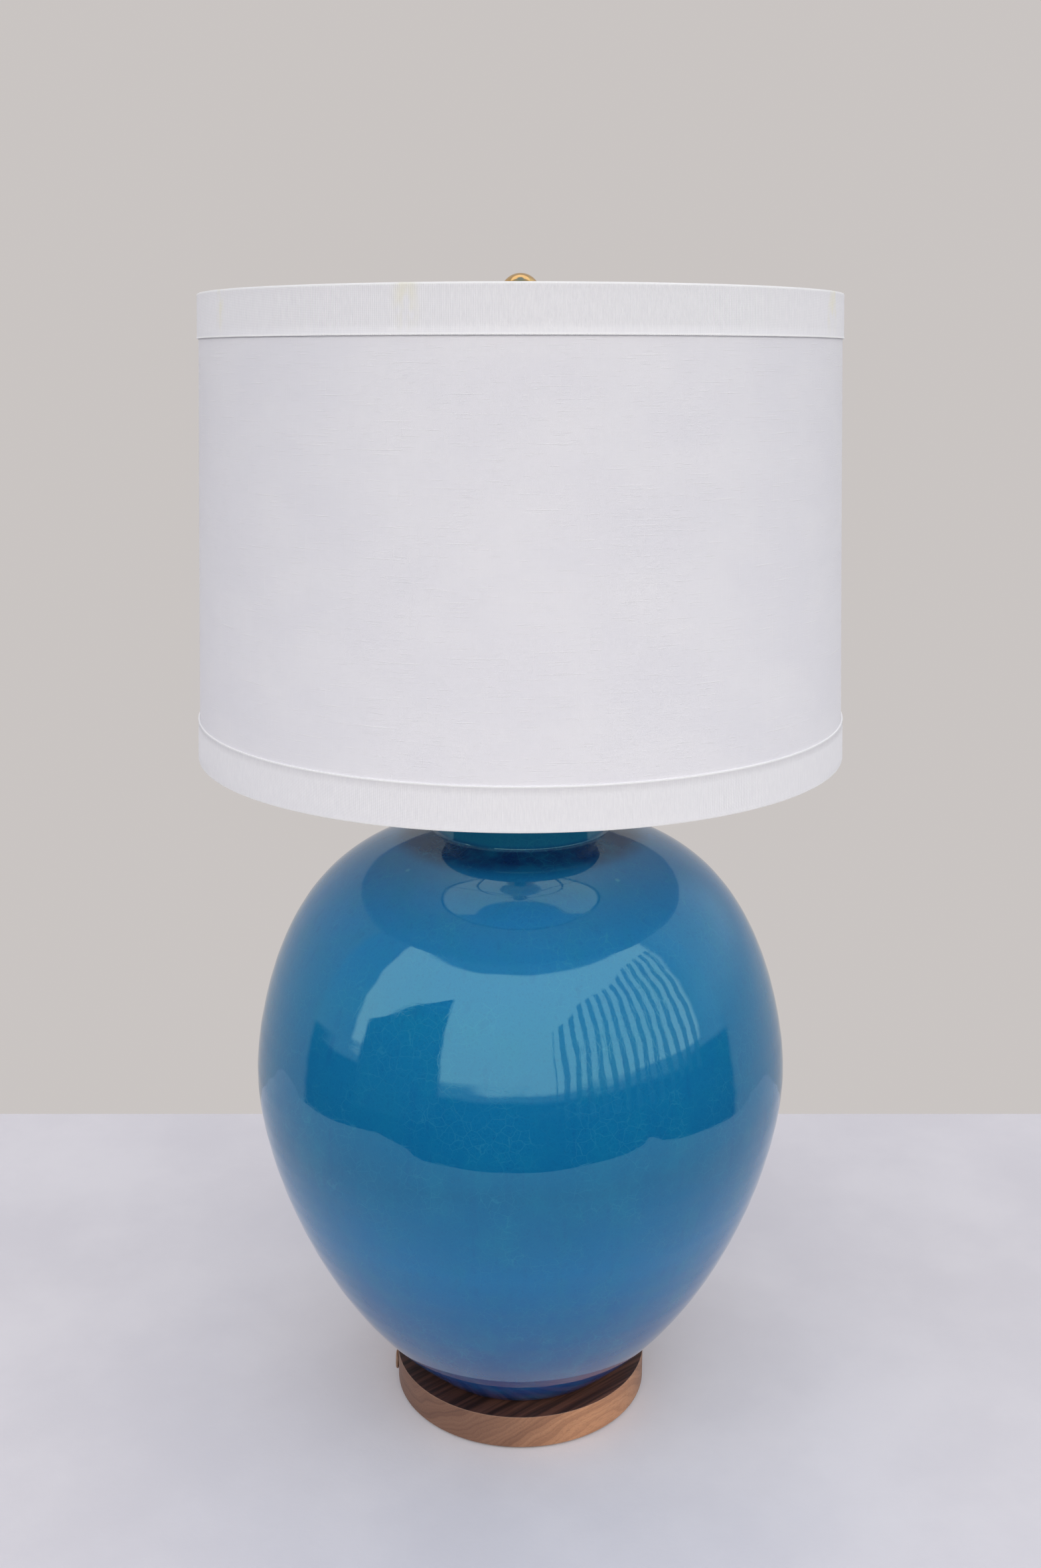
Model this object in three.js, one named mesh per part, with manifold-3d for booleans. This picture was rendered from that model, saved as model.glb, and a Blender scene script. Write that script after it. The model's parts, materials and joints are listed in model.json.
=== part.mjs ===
// Table lamp: crackle-glazed ceramic jar on a turned wooden disc, wire harp, linen drum shade.
// Units are millimetres, +Z is up, the axis of the lamp is the Z axis, the front is -Y.
import * as THREE from 'three';
import { mergeVertices } from 'three/addons/utils/BufferGeometryUtils.js';
import Module from 'manifold-3d';

const wasm = await Module();
wasm.setup();

// ---- general ----
const GAP = 0.3;
const BIG_SIDES = 60;
const JAR_SIDES = 48;
const MID_SIDES = 24;
const SMALL_SIDES = 16;
const WIRE_SIDES = 8;
const RING_WIRE_SIDES = 6;

// ---- felt, wooden base and its fixings ----
const FELT_R = 80;
const FELT_THICK = 0.9;
const BASE_R = 87.2;
const BASE_TOP_Z = 24.5;
const BASE_BOTTOM_Z = FELT_THICK + GAP;
const BASE_TOP_ARRIS = 0.3;
const BASE_BOTTOM_ARRIS = 0.8;
const ROD_HOLE_R = 5.4;
const COUNTERBORE_R = 22;
const COUNTERBORE_TOP_Z = 13;
const OUTLET_Z = 8.5;
const OUTLET_HOLE_R = 4.9;
const OUTLET_HOLE_END_X = -15;
const BUSHING_BARREL_R = 4.6;
const BUSHING_BORE_R = 3.3;
const BUSHING_FLANGE_R = 6.4;
const BUSHING_FLANGE_THICK = 1.6;
const BUSHING_BARREL_LENGTH = 11;
const BASE_WASHER_R = 17;
const BASE_WASHER_THICK = 1.5;
const NUT_ACROSS_CORNERS = 16.2;
const NUT_THICK = 4.4;

// ---- ceramic jar ----
const JAR_FOOT_Z = BASE_TOP_Z + GAP;
const JAR_WALL = 6;
const JAR_RECESS_R = 58;
const JAR_RECESS_Z = 29;
const JAR_FLOOR_THICK = 6;
const JAR_DRAIN_R = 8;
const JAR_OUTLINE = [
  [70.8, JAR_FOOT_Z], [99.6, 54.5], [128.6, 94.5], [153.3, 144.5], [171.5, 204.5], [176, 244.5],
  [171.2, 284.5], [159.2, 324.5], [143.6, 354.5], [127, 374.5], [98, 394.5], [66.3, 404.5],
];
const JAR_OUTLINE_STEPS = 20;
const JAR_INNER_STEPS = 7;
const JAR_INNER_START = 0.06;
const NECK_R = 56;
const NECK_Z = 407;
const NECK_STRAIGHT = 16;
const LIP_FLARE_START = 24;
const LIP_R = 61;
const LIP_TOP_Z = 441;
const GASKET_OUTER_R = 52;
const GASKET_INNER_R = 12;

// ---- centre rod and the stack on the mouth of the jar ----
const ROD_R = 4.85;
const ROD_BORE_R = 3.4;
const ROD_BOTTOM_Z = 4;
const ROD_TOP_Z = 475;
const CAP_R = 58;
const CAP_EDGE_Z = LIP_TOP_Z + GAP;
const CAP_CENTRE_RISE = 5;
const CAP_SHEET = 1.4;
const CAP_SKIRT_R = 48;
const CAP_SKIRT_DEPTH = 7;
const CAP_BOSS_R = 14;
const TUBE_R = 9.5;
const TUBE_Z = CAP_EDGE_Z + CAP_CENTRE_RISE + CAP_SHEET + GAP;
const TUBE_LENGTH = 11;
const CHECK_RING_R = 14;
const CHECK_RING_THICK = 2;
const CHECK_RING_Z = TUBE_Z + TUBE_LENGTH + GAP;
const LOCK_NUT_Z = CHECK_RING_Z + CHECK_RING_THICK + GAP;

// ---- harp ----
const SADDLE_Z = LOCK_NUT_Z + NUT_THICK + GAP;
const SADDLE_THICK = 1.6;
const SADDLE_HALF_WIDTH = 7;
const SADDLE_END_X = 34;
const LEG_X = 30;
const TAB_INNER_X = 1.9;
const TAB_THICK = 0.8;
const TAB_HALF_WIDTH = 1.4;
const TAB_HEIGHT = 10.5;
const HARP_WIRE_R = 1.6;
const HARP_WIRE_Z = 713;
const HARP_HALF_WIDTH = 57;
const HARP_SEAT_Z = 720;
const HARP_BOSS_R = 5.5;
const HARP_BOSS_DEPTH = 12;
const HARP_SHOULDER_R = 9;
const HARP_SHOULDER_THICK = 2;
const STUD_R = 3.15;
const STUD_LENGTH = 11;
const HARP_STEPS = 46;
const FERRULE_R = 4.3;
const FERRULE_BORE_R = 3.5;
const FERRULE_LENGTH = 11;

// ---- lamp holder ----
const HOLDER_Z = SADDLE_Z + SADDLE_THICK + GAP;
const HOLDER_CAP_R = 17.6;
const HOLDER_CAP_HEIGHT = 25;
const HOLDER_HUB_R = 8;
const HOLDER_HUB_HEIGHT = 7;
const HOLDER_SHEET = 0.8;
const SHELL_R = 16.5;
const SHELL_Z = HOLDER_Z + 19;
const SHELL_LENGTH = 44;
const SHELL_SHEET = 0.6;
const SLEEVE_R = 15.6;
const SLEEVE_SHEET = 0.5;
const BODY_R = 14.4;
const BODY_Z = SHELL_Z + 3;
const BODY_HEIGHT = 18;
const BODY_FLAT_X = 11.2;
const TERMINAL_Z = BODY_Z + 6;
const TERMINAL_HEAD_R = 3.2;
const TERMINAL_HEAD_THICK = 1.4;
const TERMINAL_SHANK_R = 1.4;
const TERMINAL_SHANK_LENGTH = 4;
const SWITCH_Z = BODY_Z + 12;
const SWITCH_SHAFT_R = 1.5;
const SWITCH_SHAFT_IN = 8;
const SWITCH_SHAFT_OUT = 25;
const SWITCH_WINDOW_R = 3.2;
const KNOB_IN = 18.5;
const KNOB_LENGTH = 12;
const KNOB_R = 5.6;
const KNOB_RIBS = 16;
const KNOB_RIB_DEPTH = 0.3;
const THREAD_PITCH = 3.63;
const THREAD_DEPTH = 0.45;
const THREAD_TURNS = 4;
const THREAD_START = 4.5;
const SCREW_SHELL_R = 13.35;
const SCREW_SHELL_SHEET = 0.4;
const SCREW_SHELL_Z = BODY_Z + BODY_HEIGHT + GAP;

// ---- bulb ----
const BULB_BASE_R = 12.6;
const BULB_TIP_Z = SCREW_SHELL_Z + 2.8;
const BULB_BASE_Z = BULB_TIP_Z + 5;
const BULB_BASE_TOP_Z = BULB_BASE_Z + 21;
const BULB_GLASS_R = 30;
const BULB_HEIGHT = 110;
const BULB_WALL = 0.8;
const BULB_STEPS = 13;

// ---- shade ----
const SHADE_TOP_R = 190.5;
const SHADE_BOTTOM_R = 203.5;
const SHADE_TOP_Z = 738.5;
const SHADE_BOTTOM_Z = 463.5;
const TRIM_WIDTH = 25;
const TRIM_SHEET = 0.7;
const TRIM_FOLD_WIDTH = 6.8;
const TRIM_FOLD_DEPTH = 8;
const FABRIC_SHEET = 0.6;
const LINER_SHEET = 0.6;
const RING_WIRE_R = 1.5;
const HUB_R = 17;
const HUB_HOLE_R = 3.6;
const HUB_THICK = 2;
const HUB_Z = HARP_SEAT_Z + GAP;
const ARM_WIRE_R = 1.4;
const ARM_COUNT = 4;
const ARM_FIRST_DEG = 54;
const ARM_BEND_R = 166;
const ARM_STEPS = 14;
const ARM_NOTCH_HALF_WIDTH = 2.6;

// ---- finial ----
const FINIAL_Z = HUB_Z + HUB_THICK + GAP;
const FINIAL_FOOT_R = 6.5;
const FINIAL_NECK_R = 4.6;
const FINIAL_BORE_R = 3.5;
const FINIAL_FOOT_HEIGHT = 3;
const FINIAL_NECK_HEIGHT = 12.4;
const BALL_R = 12.3;
const BALL_TOP_Z = 752;
const BALL_STEPS = 14;

const lamp = new THREE.Group();
lamp.name = 'table_lamp';

// Welds a geometry, drops its collapsed triangles and turns its faces outwards.
function weld(geometry) {
  const bare = geometry.clone();
  bare.deleteAttribute('normal');
  bare.deleteAttribute('uv');
  const merged = mergeVertices(bare, 1e-4);
  const kept = [];
  for (let i = 0; i < merged.index.count; i += 3) {
    const [a, b, c] = [0, 1, 2].map((k) => merged.index.getX(i + k));
    if (a !== b && b !== c && c !== a) kept.push([a, b, c]);
  }
  const corner = (n) => new THREE.Vector3().fromBufferAttribute(merged.attributes.position, n);
  let volume = 0;
  for (const [a, b, c] of kept) volume += corner(a).dot(corner(b).cross(corner(c)));
  const order = volume < 0 ? kept.map(([a, b, c]) => [a, c, b]) : kept;
  merged.setIndex(order.flat());
  return merged;
}

function toManifold(geometry) {
  const mesh = weld(geometry);
  return new wasm.Manifold(new wasm.Mesh({
    numProp: 3,
    vertProperties: new Float32Array(mesh.attributes.position.array),
    triVerts: new Uint32Array(mesh.index.array),
  }));
}

function fromManifold(manifold) {
  const mesh = manifold.getMesh();
  const geometry = new THREE.BufferGeometry();
  geometry.setAttribute('position', new THREE.BufferAttribute(mesh.vertProperties, 3));
  geometry.setIndex(new THREE.BufferAttribute(mesh.triVerts, 1));
  return geometry;
}

function cut(geometry, ...tools) {
  let body = toManifold(geometry);
  for (const tool of tools) body = body.subtract(toManifold(tool));
  return fromManifold(body);
}

function join(first, ...others) {
  let body = toManifold(first);
  for (const other of others) body = body.add(toManifold(other));
  return fromManifold(body);
}

function addPart(name, geometry, colour, roughness, metalness) {
  const solid = weld(geometry);
  solid.computeVertexNormals();
  const material = new THREE.MeshStandardMaterial({ color: colour, roughness, metalness });
  material.name = name;
  const mesh = new THREE.Mesh(solid, material);
  mesh.name = name;
  lamp.add(mesh);
}

// Turns a closed outline of [radius, height] pairs about the Z axis.
function turn(outline, sides) {
  const points = outline.map(([r, z]) => new THREE.Vector2(r, z));
  if (outline[0][0] > 0) points.push(points[0].clone());
  return new THREE.LatheGeometry(points, sides).rotateX(Math.PI / 2);
}

function tube(innerR, outerR, bottomZ, topZ, sides) {
  return turn([[innerR, bottomZ], [outerR, bottomZ], [outerR, topZ], [innerR, topZ]], sides);
}

function disc(radius, bottomZ, topZ, sides) {
  return turn([[0, bottomZ], [radius, bottomZ], [radius, topZ], [0, topZ]], sides);
}

function box(x0, x1, y0, y1, z0, z1) {
  const geometry = new THREE.BoxGeometry(x1 - x0, y1 - y0, z1 - z0);
  return geometry.translate((x0 + x1) / 2, (y0 + y1) / 2, (z0 + z1) / 2);
}

function circleOutline(centreR, centreZ, radius, sides) {
  const outline = [];
  for (let i = 0; i < sides; i += 1) {
    const angle = (2 * Math.PI * i) / sides;
    outline.push([centreR + radius * Math.cos(angle), centreZ + radius * Math.sin(angle)]);
  }
  return outline;
}

// A round wire swept along a curve.
function wire(curve, radius, steps) {
  const section = circleOutline(0, 0, radius, WIRE_SIDES).map(([x, y]) => new THREE.Vector2(x, y));
  const shape = new THREE.Shape(section);
  return new THREE.ExtrudeGeometry(shape, { steps, extrudePath: curve, bevelEnabled: false });
}

function hexNut(bottomZ) {
  const corners = circleOutline(0, 0, NUT_ACROSS_CORNERS / 2, 6);
  const shape = new THREE.Shape(corners.map(([x, y]) => new THREE.Vector2(x, y)));
  const hole = new THREE.Path();
  hole.absarc(0, 0, ROD_R + GAP, 0, 2 * Math.PI, true);
  shape.holes.push(hole);
  const options = { depth: NUT_THICK, bevelEnabled: false, curveSegments: SMALL_SIDES / 2 };
  return new THREE.ExtrudeGeometry(shape, options).translate(0, 0, bottomZ);
}

// ---------------------------------------------------------------- base
function addBase() {
  addPart('felt_pad', disc(FELT_R, 0, FELT_THICK, BIG_SIDES), 0x24352b, 0.95, 0);

  const blank = turn([
    [ROD_HOLE_R, BASE_TOP_Z],
    [BASE_R - BASE_TOP_ARRIS, BASE_TOP_Z],
    [BASE_R, BASE_TOP_Z - BASE_TOP_ARRIS],
    [BASE_R, BASE_BOTTOM_Z + BASE_BOTTOM_ARRIS],
    [BASE_R - BASE_BOTTOM_ARRIS, BASE_BOTTOM_Z],
    [COUNTERBORE_R, BASE_BOTTOM_Z],
    [COUNTERBORE_R, COUNTERBORE_TOP_Z],
    [ROD_HOLE_R, COUNTERBORE_TOP_Z],
  ], BIG_SIDES);
  const drillLength = BASE_R + BUSHING_BARREL_LENGTH + OUTLET_HOLE_END_X;
  const drill = disc(OUTLET_HOLE_R, 0, drillLength, SMALL_SIDES);
  drill.rotateY(-Math.PI / 2).translate(OUTLET_HOLE_END_X, 0, OUTLET_Z);
  addPart('walnut_base', cut(blank, drill), 0x8a5f41, 0.55, 0);

  const flangeX = BASE_R + GAP;
  const bushing = turn([
    [BUSHING_BORE_R, flangeX - BUSHING_BARREL_LENGTH],
    [BUSHING_BARREL_R, flangeX - BUSHING_BARREL_LENGTH],
    [BUSHING_BARREL_R, flangeX],
    [BUSHING_FLANGE_R, flangeX],
    [BUSHING_FLANGE_R, flangeX + BUSHING_FLANGE_THICK - 0.5],
    [BUSHING_FLANGE_R - 0.7, flangeX + BUSHING_FLANGE_THICK],
    [BUSHING_BORE_R, flangeX + BUSHING_FLANGE_THICK],
  ], SMALL_SIDES);
  bushing.rotateY(-Math.PI / 2).translate(0, 0, OUTLET_Z);
  addPart('cord_bushing', bushing, 0x4a3426, 0.5, 0);

  const washerTop = COUNTERBORE_TOP_Z - GAP;
  const washerBottom = washerTop - BASE_WASHER_THICK;
  const washer = tube(ROD_HOLE_R, BASE_WASHER_R, washerBottom, washerTop, MID_SIDES);
  addPart('base_washer', washer, 0xb4b6b8, 0.35, 1);
  addPart('base_nut', hexNut(washerBottom - GAP - NUT_THICK), 0xb08d4f, 0.35, 1);
}

// ---------------------------------------------------------------- jar
function addJar() {
  const gasketTop = JAR_RECESS_Z - GAP;
  const gasket = tube(GASKET_INNER_R, GASKET_OUTER_R, BASE_TOP_Z + GAP, gasketTop, MID_SIDES);
  addPart('foot_gasket', gasket, 0xa98562, 0.9, 0);

  const side = new THREE.SplineCurve(JAR_OUTLINE.map(([r, z]) => new THREE.Vector2(r, z)));
  const outside = side.getPoints(JAR_OUTLINE_STEPS).map((p) => [p.x, p.y]);
  const inside = [];
  const floorZ = JAR_RECESS_Z + JAR_FLOOR_THICK;
  for (let i = JAR_INNER_STEPS; i >= 0; i -= 1) {
    const at = JAR_INNER_START + ((1 - JAR_INNER_START) * i) / JAR_INNER_STEPS;
    const point = side.getPoint(at);
    const along = side.getTangent(at);
    const r = point.x - JAR_WALL * along.y;
    inside.push([r, Math.max(point.y + JAR_WALL * along.x, floorZ)]);
  }
  const neckInnerR = NECK_R - JAR_WALL;
  const outline = [
    ...outside,
    [NECK_R + 1.5, NECK_Z - 0.7],
    [NECK_R, NECK_Z + 1.5],
    [NECK_R, NECK_Z + NECK_STRAIGHT],
    [NECK_R + 1.6, NECK_Z + LIP_FLARE_START],
    [LIP_R, LIP_TOP_Z - 5],
    [LIP_R, LIP_TOP_Z - 2],
    [LIP_R - 2, LIP_TOP_Z],
    [neckInnerR + 2, LIP_TOP_Z],
    [neckInnerR, LIP_TOP_Z - 3],
    [neckInnerR, NECK_Z - JAR_WALL + 1],
    ...inside,
    [JAR_DRAIN_R, floorZ],
    [JAR_DRAIN_R, JAR_RECESS_Z],
    [JAR_RECESS_R, JAR_RECESS_Z],
    [JAR_RECESS_R + 2, JAR_FOOT_Z],
  ];
  addPart('ceramic_jar', turn(outline, JAR_SIDES), 0x17728f, 0.08, 0);
}

// ---------------------------------------------------------------- rod and stack
function addStack() {
  const rod = tube(ROD_BORE_R, ROD_R, ROD_BOTTOM_Z, ROD_TOP_Z, SMALL_SIDES);
  addPart('threaded_rod', rod, 0xa9abad, 0.4, 1);

  const centreZ = CAP_EDGE_Z + CAP_CENTRE_RISE;
  const cap = turn([
    [ROD_HOLE_R, centreZ],
    [CAP_BOSS_R, centreZ],
    [CAP_SKIRT_R - CAP_SHEET, CAP_EDGE_Z],
    [CAP_SKIRT_R - CAP_SHEET, CAP_EDGE_Z - CAP_SKIRT_DEPTH],
    [CAP_SKIRT_R, CAP_EDGE_Z - CAP_SKIRT_DEPTH],
    [CAP_SKIRT_R, CAP_EDGE_Z],
    [CAP_R, CAP_EDGE_Z],
    [CAP_R + 0.6, CAP_EDGE_Z + CAP_SHEET / 2],
    [CAP_R, CAP_EDGE_Z + CAP_SHEET],
    [CAP_SKIRT_R, CAP_EDGE_Z + CAP_SHEET],
    [CAP_BOSS_R + 1, centreZ + CAP_SHEET],
    [ROD_HOLE_R, centreZ + CAP_SHEET],
  ], MID_SIDES);
  addPart('jar_cap', cap, 0xb38a45, 0.3, 1);

  const neckTube = tube(ROD_HOLE_R, TUBE_R, TUBE_Z, TUBE_Z + TUBE_LENGTH, MID_SIDES);
  addPart('neck_tube', neckTube, 0xb38a45, 0.28, 1);
  const ringTop = CHECK_RING_Z + CHECK_RING_THICK;
  const ring = tube(ROD_HOLE_R, CHECK_RING_R, CHECK_RING_Z, ringTop, MID_SIDES);
  addPart('check_ring', ring, 0xb38a45, 0.3, 1);
  addPart('lock_nut', hexNut(LOCK_NUT_Z), 0xb08d4f, 0.35, 1);
}

// ---------------------------------------------------------------- harp
function addHarp() {
  const plateTop = SADDLE_Z + SADDLE_THICK;
  const [endX, sideY] = [SADDLE_END_X, SADDLE_HALF_WIDTH];
  const plate = box(-endX, endX, -sideY, sideY, SADDLE_Z, plateTop);
  const tabs = [-1, 1].map((side) => {
    const near = side * (LEG_X + TAB_INNER_X);
    const far = side * (LEG_X + TAB_INNER_X + TAB_THICK);
    const [x0, x1] = side < 0 ? [far, near] : [near, far];
    return box(x0, x1, -TAB_HALF_WIDTH, TAB_HALF_WIDTH, SADDLE_Z, plateTop + TAB_HEIGHT);
  });
  const hole = disc(ROD_HOLE_R, SADDLE_Z - 1, plateTop + 1, SMALL_SIDES);
  addPart('harp_saddle', cut(join(plate, ...tabs), hole), 0xa89058, 0.35, 1);

  const footZ = plateTop + GAP;
  const half = [
    [LEG_X, footZ], [LEG_X, footZ + 12], [LEG_X, footZ + 24], [LEG_X + 9, footZ + 46],
    [HARP_HALF_WIDTH - 4, footZ + 82], [HARP_HALF_WIDTH, footZ + 122],
    [HARP_HALF_WIDTH - 5, footZ + 170], [HARP_HALF_WIDTH - 19, footZ + 212],
    [HARP_HALF_WIDTH - 34, HARP_WIRE_Z - 4], [HARP_BOSS_R + 9, HARP_WIRE_Z - 0.6],
    [HARP_BOSS_R + 2, HARP_WIRE_Z],
  ];
  const left = half.map(([x, z]) => new THREE.Vector3(-x, 0, z));
  const right = half.map(([x, z]) => new THREE.Vector3(x, 0, z)).reverse();
  const loop = new THREE.CatmullRomCurve3([...left, ...right], false, 'centripetal');
  addPart('harp_wire', wire(loop, HARP_WIRE_R, HARP_STEPS), 0xb59a5a, 0.3, 1);

  const shoulderZ = HARP_SEAT_Z - HARP_SHOULDER_THICK;
  const stud = turn([
    [0, HARP_SEAT_Z - HARP_BOSS_DEPTH],
    [HARP_BOSS_R, HARP_SEAT_Z - HARP_BOSS_DEPTH],
    [HARP_BOSS_R, shoulderZ],
    [HARP_SHOULDER_R, shoulderZ],
    [HARP_SHOULDER_R, HARP_SEAT_Z],
    [STUD_R, HARP_SEAT_Z],
    [STUD_R, HARP_SEAT_Z + STUD_LENGTH - 0.6],
    [STUD_R - 0.6, HARP_SEAT_Z + STUD_LENGTH],
    [0, HARP_SEAT_Z + STUD_LENGTH],
  ], MID_SIDES);
  const crossHole = disc(HARP_WIRE_R + GAP, -HARP_BOSS_R - 1, HARP_BOSS_R + 1, SMALL_SIDES);
  crossHole.rotateY(Math.PI / 2).translate(0, 0, HARP_WIRE_Z);
  addPart('harp_stud', cut(stud, crossHole), 0xb38a45, 0.3, 1);

  for (const [name, side] of [['harp_ferrule_left', -1], ['harp_ferrule_right', 1]]) {
    const ferrule = tube(FERRULE_BORE_R, FERRULE_R, footZ, footZ + FERRULE_LENGTH, SMALL_SIDES);
    addPart(name, ferrule.translate(side * LEG_X, 0, 0), 0xb38a45, 0.28, 1);
  }
}

// Outline of a rolled thread from one height to another, its crests one pitch apart.
function threadOutline(radius, startZ, upwards) {
  const points = [];
  const steps = THREAD_TURNS * 4;
  for (let i = 0; i <= steps; i += 1) {
    const k = upwards ? i : steps - i;
    const z = startZ + (k * THREAD_PITCH) / 4;
    points.push([radius + THREAD_DEPTH * Math.sin((Math.PI * k) / 2), z]);
  }
  return points;
}

// ---------------------------------------------------------------- lamp holder
function addHolder() {
  const hubTop = HOLDER_Z + HOLDER_HUB_HEIGHT;
  const skirtZ = HOLDER_Z + 18;
  const capTop = HOLDER_Z + HOLDER_CAP_HEIGHT;
  const cap = turn([
    [ROD_HOLE_R, HOLDER_Z],
    [HOLDER_HUB_R, HOLDER_Z],
    [HOLDER_HUB_R, hubTop],
    [HOLDER_HUB_R + 4.6, hubTop + 4],
    [HOLDER_CAP_R, skirtZ],
    [HOLDER_CAP_R, capTop],
    [HOLDER_CAP_R - HOLDER_SHEET, capTop],
    [HOLDER_CAP_R - HOLDER_SHEET, skirtZ + 0.3],
    [HOLDER_HUB_R + 4, hubTop + 4.8],
    [HOLDER_HUB_R - 0.4, hubTop + 1.2],
    [ROD_HOLE_R, hubTop + 1.2],
  ], MID_SIDES);
  addPart('holder_cap', cap, 0xb38a45, 0.3, 1);

  const windowTool = disc(SWITCH_WINDOW_R, SLEEVE_R - 5, SHELL_R + 5, SMALL_SIDES);
  windowTool.rotateX(Math.PI / 2).translate(0, 0, SWITCH_Z);
  const shell = turn([
    [SHELL_R - SHELL_SHEET, SHELL_Z],
    [SHELL_R, SHELL_Z],
    [SHELL_R, SHELL_Z + SHELL_LENGTH - 1],
    [SHELL_R + 0.5, SHELL_Z + SHELL_LENGTH],
    [SHELL_R - SHELL_SHEET, SHELL_Z + SHELL_LENGTH],
  ], MID_SIDES);
  addPart('holder_shell', cut(shell, windowTool), 0xb38a45, 0.28, 1);
  const sleeveTop = SHELL_Z + SHELL_LENGTH - 1;
  const sleeve = tube(SLEEVE_R - SLEEVE_SHEET, SLEEVE_R, SHELL_Z + 1, sleeveTop, MID_SIDES);
  addPart('holder_sleeve', cut(sleeve, windowTool), 0xcdbb94, 0.9, 0);

  const bodyTop = BODY_Z + BODY_HEIGHT;
  const reach = BODY_R + 1;
  const flats = [
    box(BODY_FLAT_X, reach, -reach, reach, BODY_Z - 1, TERMINAL_Z + 5),
    box(-reach, -BODY_FLAT_X, -reach, reach, BODY_Z - 1, TERMINAL_Z + 5),
  ];
  const shaftBore = disc(SWITCH_SHAFT_R + GAP, SWITCH_SHAFT_IN - GAP, reach, SMALL_SIDES);
  shaftBore.rotateX(Math.PI / 2).translate(0, 0, SWITCH_Z);
  const terminalBore = disc(TERMINAL_SHANK_R + GAP, BODY_FLAT_X - 5, reach, SMALL_SIDES);
  const bores = [1, -1].map((side) => {
    const bore = terminalBore.clone().rotateY((side * Math.PI) / 2);
    return bore.translate(0, 0, TERMINAL_Z);
  });
  const block = disc(BODY_R, BODY_Z, bodyTop, MID_SIDES);
  addPart('holder_body', cut(block, ...flats, shaftBore, ...bores), 0x1c1a19, 0.45, 0);

  const headIn = BODY_FLAT_X + GAP;
  const screw = turn([
    [0, headIn - TERMINAL_SHANK_LENGTH],
    [TERMINAL_SHANK_R, headIn - TERMINAL_SHANK_LENGTH],
    [TERMINAL_SHANK_R, headIn],
    [TERMINAL_HEAD_R, headIn],
    [TERMINAL_HEAD_R, headIn + TERMINAL_HEAD_THICK - 0.4],
    [TERMINAL_HEAD_R - 0.5, headIn + TERMINAL_HEAD_THICK],
    [0, headIn + TERMINAL_HEAD_THICK],
  ], SMALL_SIDES);
  const slotX = headIn + TERMINAL_HEAD_THICK;
  const slot = box(-0.4, 0.4, -TERMINAL_HEAD_R - 1, TERMINAL_HEAD_R + 1, slotX - 0.6, slotX + 1);
  const slotted = cut(screw, slot);
  const hot = slotted.clone().rotateY(Math.PI / 2).translate(0, 0, TERMINAL_Z);
  const neutral = slotted.clone().rotateY(-Math.PI / 2).translate(0, 0, TERMINAL_Z);
  addPart('terminal_screw_hot', hot, 0xc09a4c, 0.3, 1);
  addPart('terminal_screw_neutral', neutral, 0xc4c6c8, 0.3, 1);

  const threadZ = SCREW_SHELL_Z + THREAD_START;
  const inner = threadOutline(SCREW_SHELL_R, threadZ, false);
  const outer = threadOutline(SCREW_SHELL_R + SCREW_SHELL_SHEET, threadZ, true);
  const screwShell = turn([
    [6, SCREW_SHELL_Z],
    [SCREW_SHELL_R - 1, SCREW_SHELL_Z],
    [SCREW_SHELL_R + SCREW_SHELL_SHEET, SCREW_SHELL_Z + 1.2],
    ...outer,
    ...inner,
    [SCREW_SHELL_R, SCREW_SHELL_Z + 1.5],
    [SCREW_SHELL_R - 1.2, SCREW_SHELL_Z + 0.5],
    [6, SCREW_SHELL_Z + 0.5],
  ], SMALL_SIDES);
  addPart('screw_shell', screwShell, 0xc6c8ca, 0.25, 1);

  const contact = turn([
    [0, SCREW_SHELL_Z], [4, SCREW_SHELL_Z], [4, SCREW_SHELL_Z + 0.5],
    [2.2, SCREW_SHELL_Z + 2.1], [0, SCREW_SHELL_Z + 2.4],
  ], SMALL_SIDES);
  addPart('centre_contact', contact, 0xc09a4c, 0.3, 1);

  const shaft = disc(SWITCH_SHAFT_R, SWITCH_SHAFT_IN, SWITCH_SHAFT_OUT, SMALL_SIDES);
  addPart('switch_shaft', shaft.rotateX(Math.PI / 2).translate(0, 0, SWITCH_Z), 0xa9abad, 0.35, 1);
  const gripPoints = [];
  const ribPoints = KNOB_RIBS * 4;
  for (let i = 0; i < ribPoints; i += 1) {
    const angle = (2 * Math.PI * i) / ribPoints;
    const r = KNOB_R + KNOB_RIB_DEPTH * Math.cos(KNOB_RIBS * angle);
    gripPoints.push(new THREE.Vector2(r * Math.cos(angle), r * Math.sin(angle)));
  }
  const grip = new THREE.Shape(gripPoints);
  const knobBody = new THREE.ExtrudeGeometry(grip, { depth: KNOB_LENGTH, bevelEnabled: false });
  const knobBore = disc(SWITCH_SHAFT_R + GAP, -1, SWITCH_SHAFT_OUT - KNOB_IN + GAP, SMALL_SIDES);
  const knob = cut(knobBody, knobBore).translate(0, 0, KNOB_IN);
  addPart('switch_knob', knob.rotateX(Math.PI / 2).translate(0, 0, SWITCH_Z), 0x15130f, 0.4, 0);
}

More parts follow.
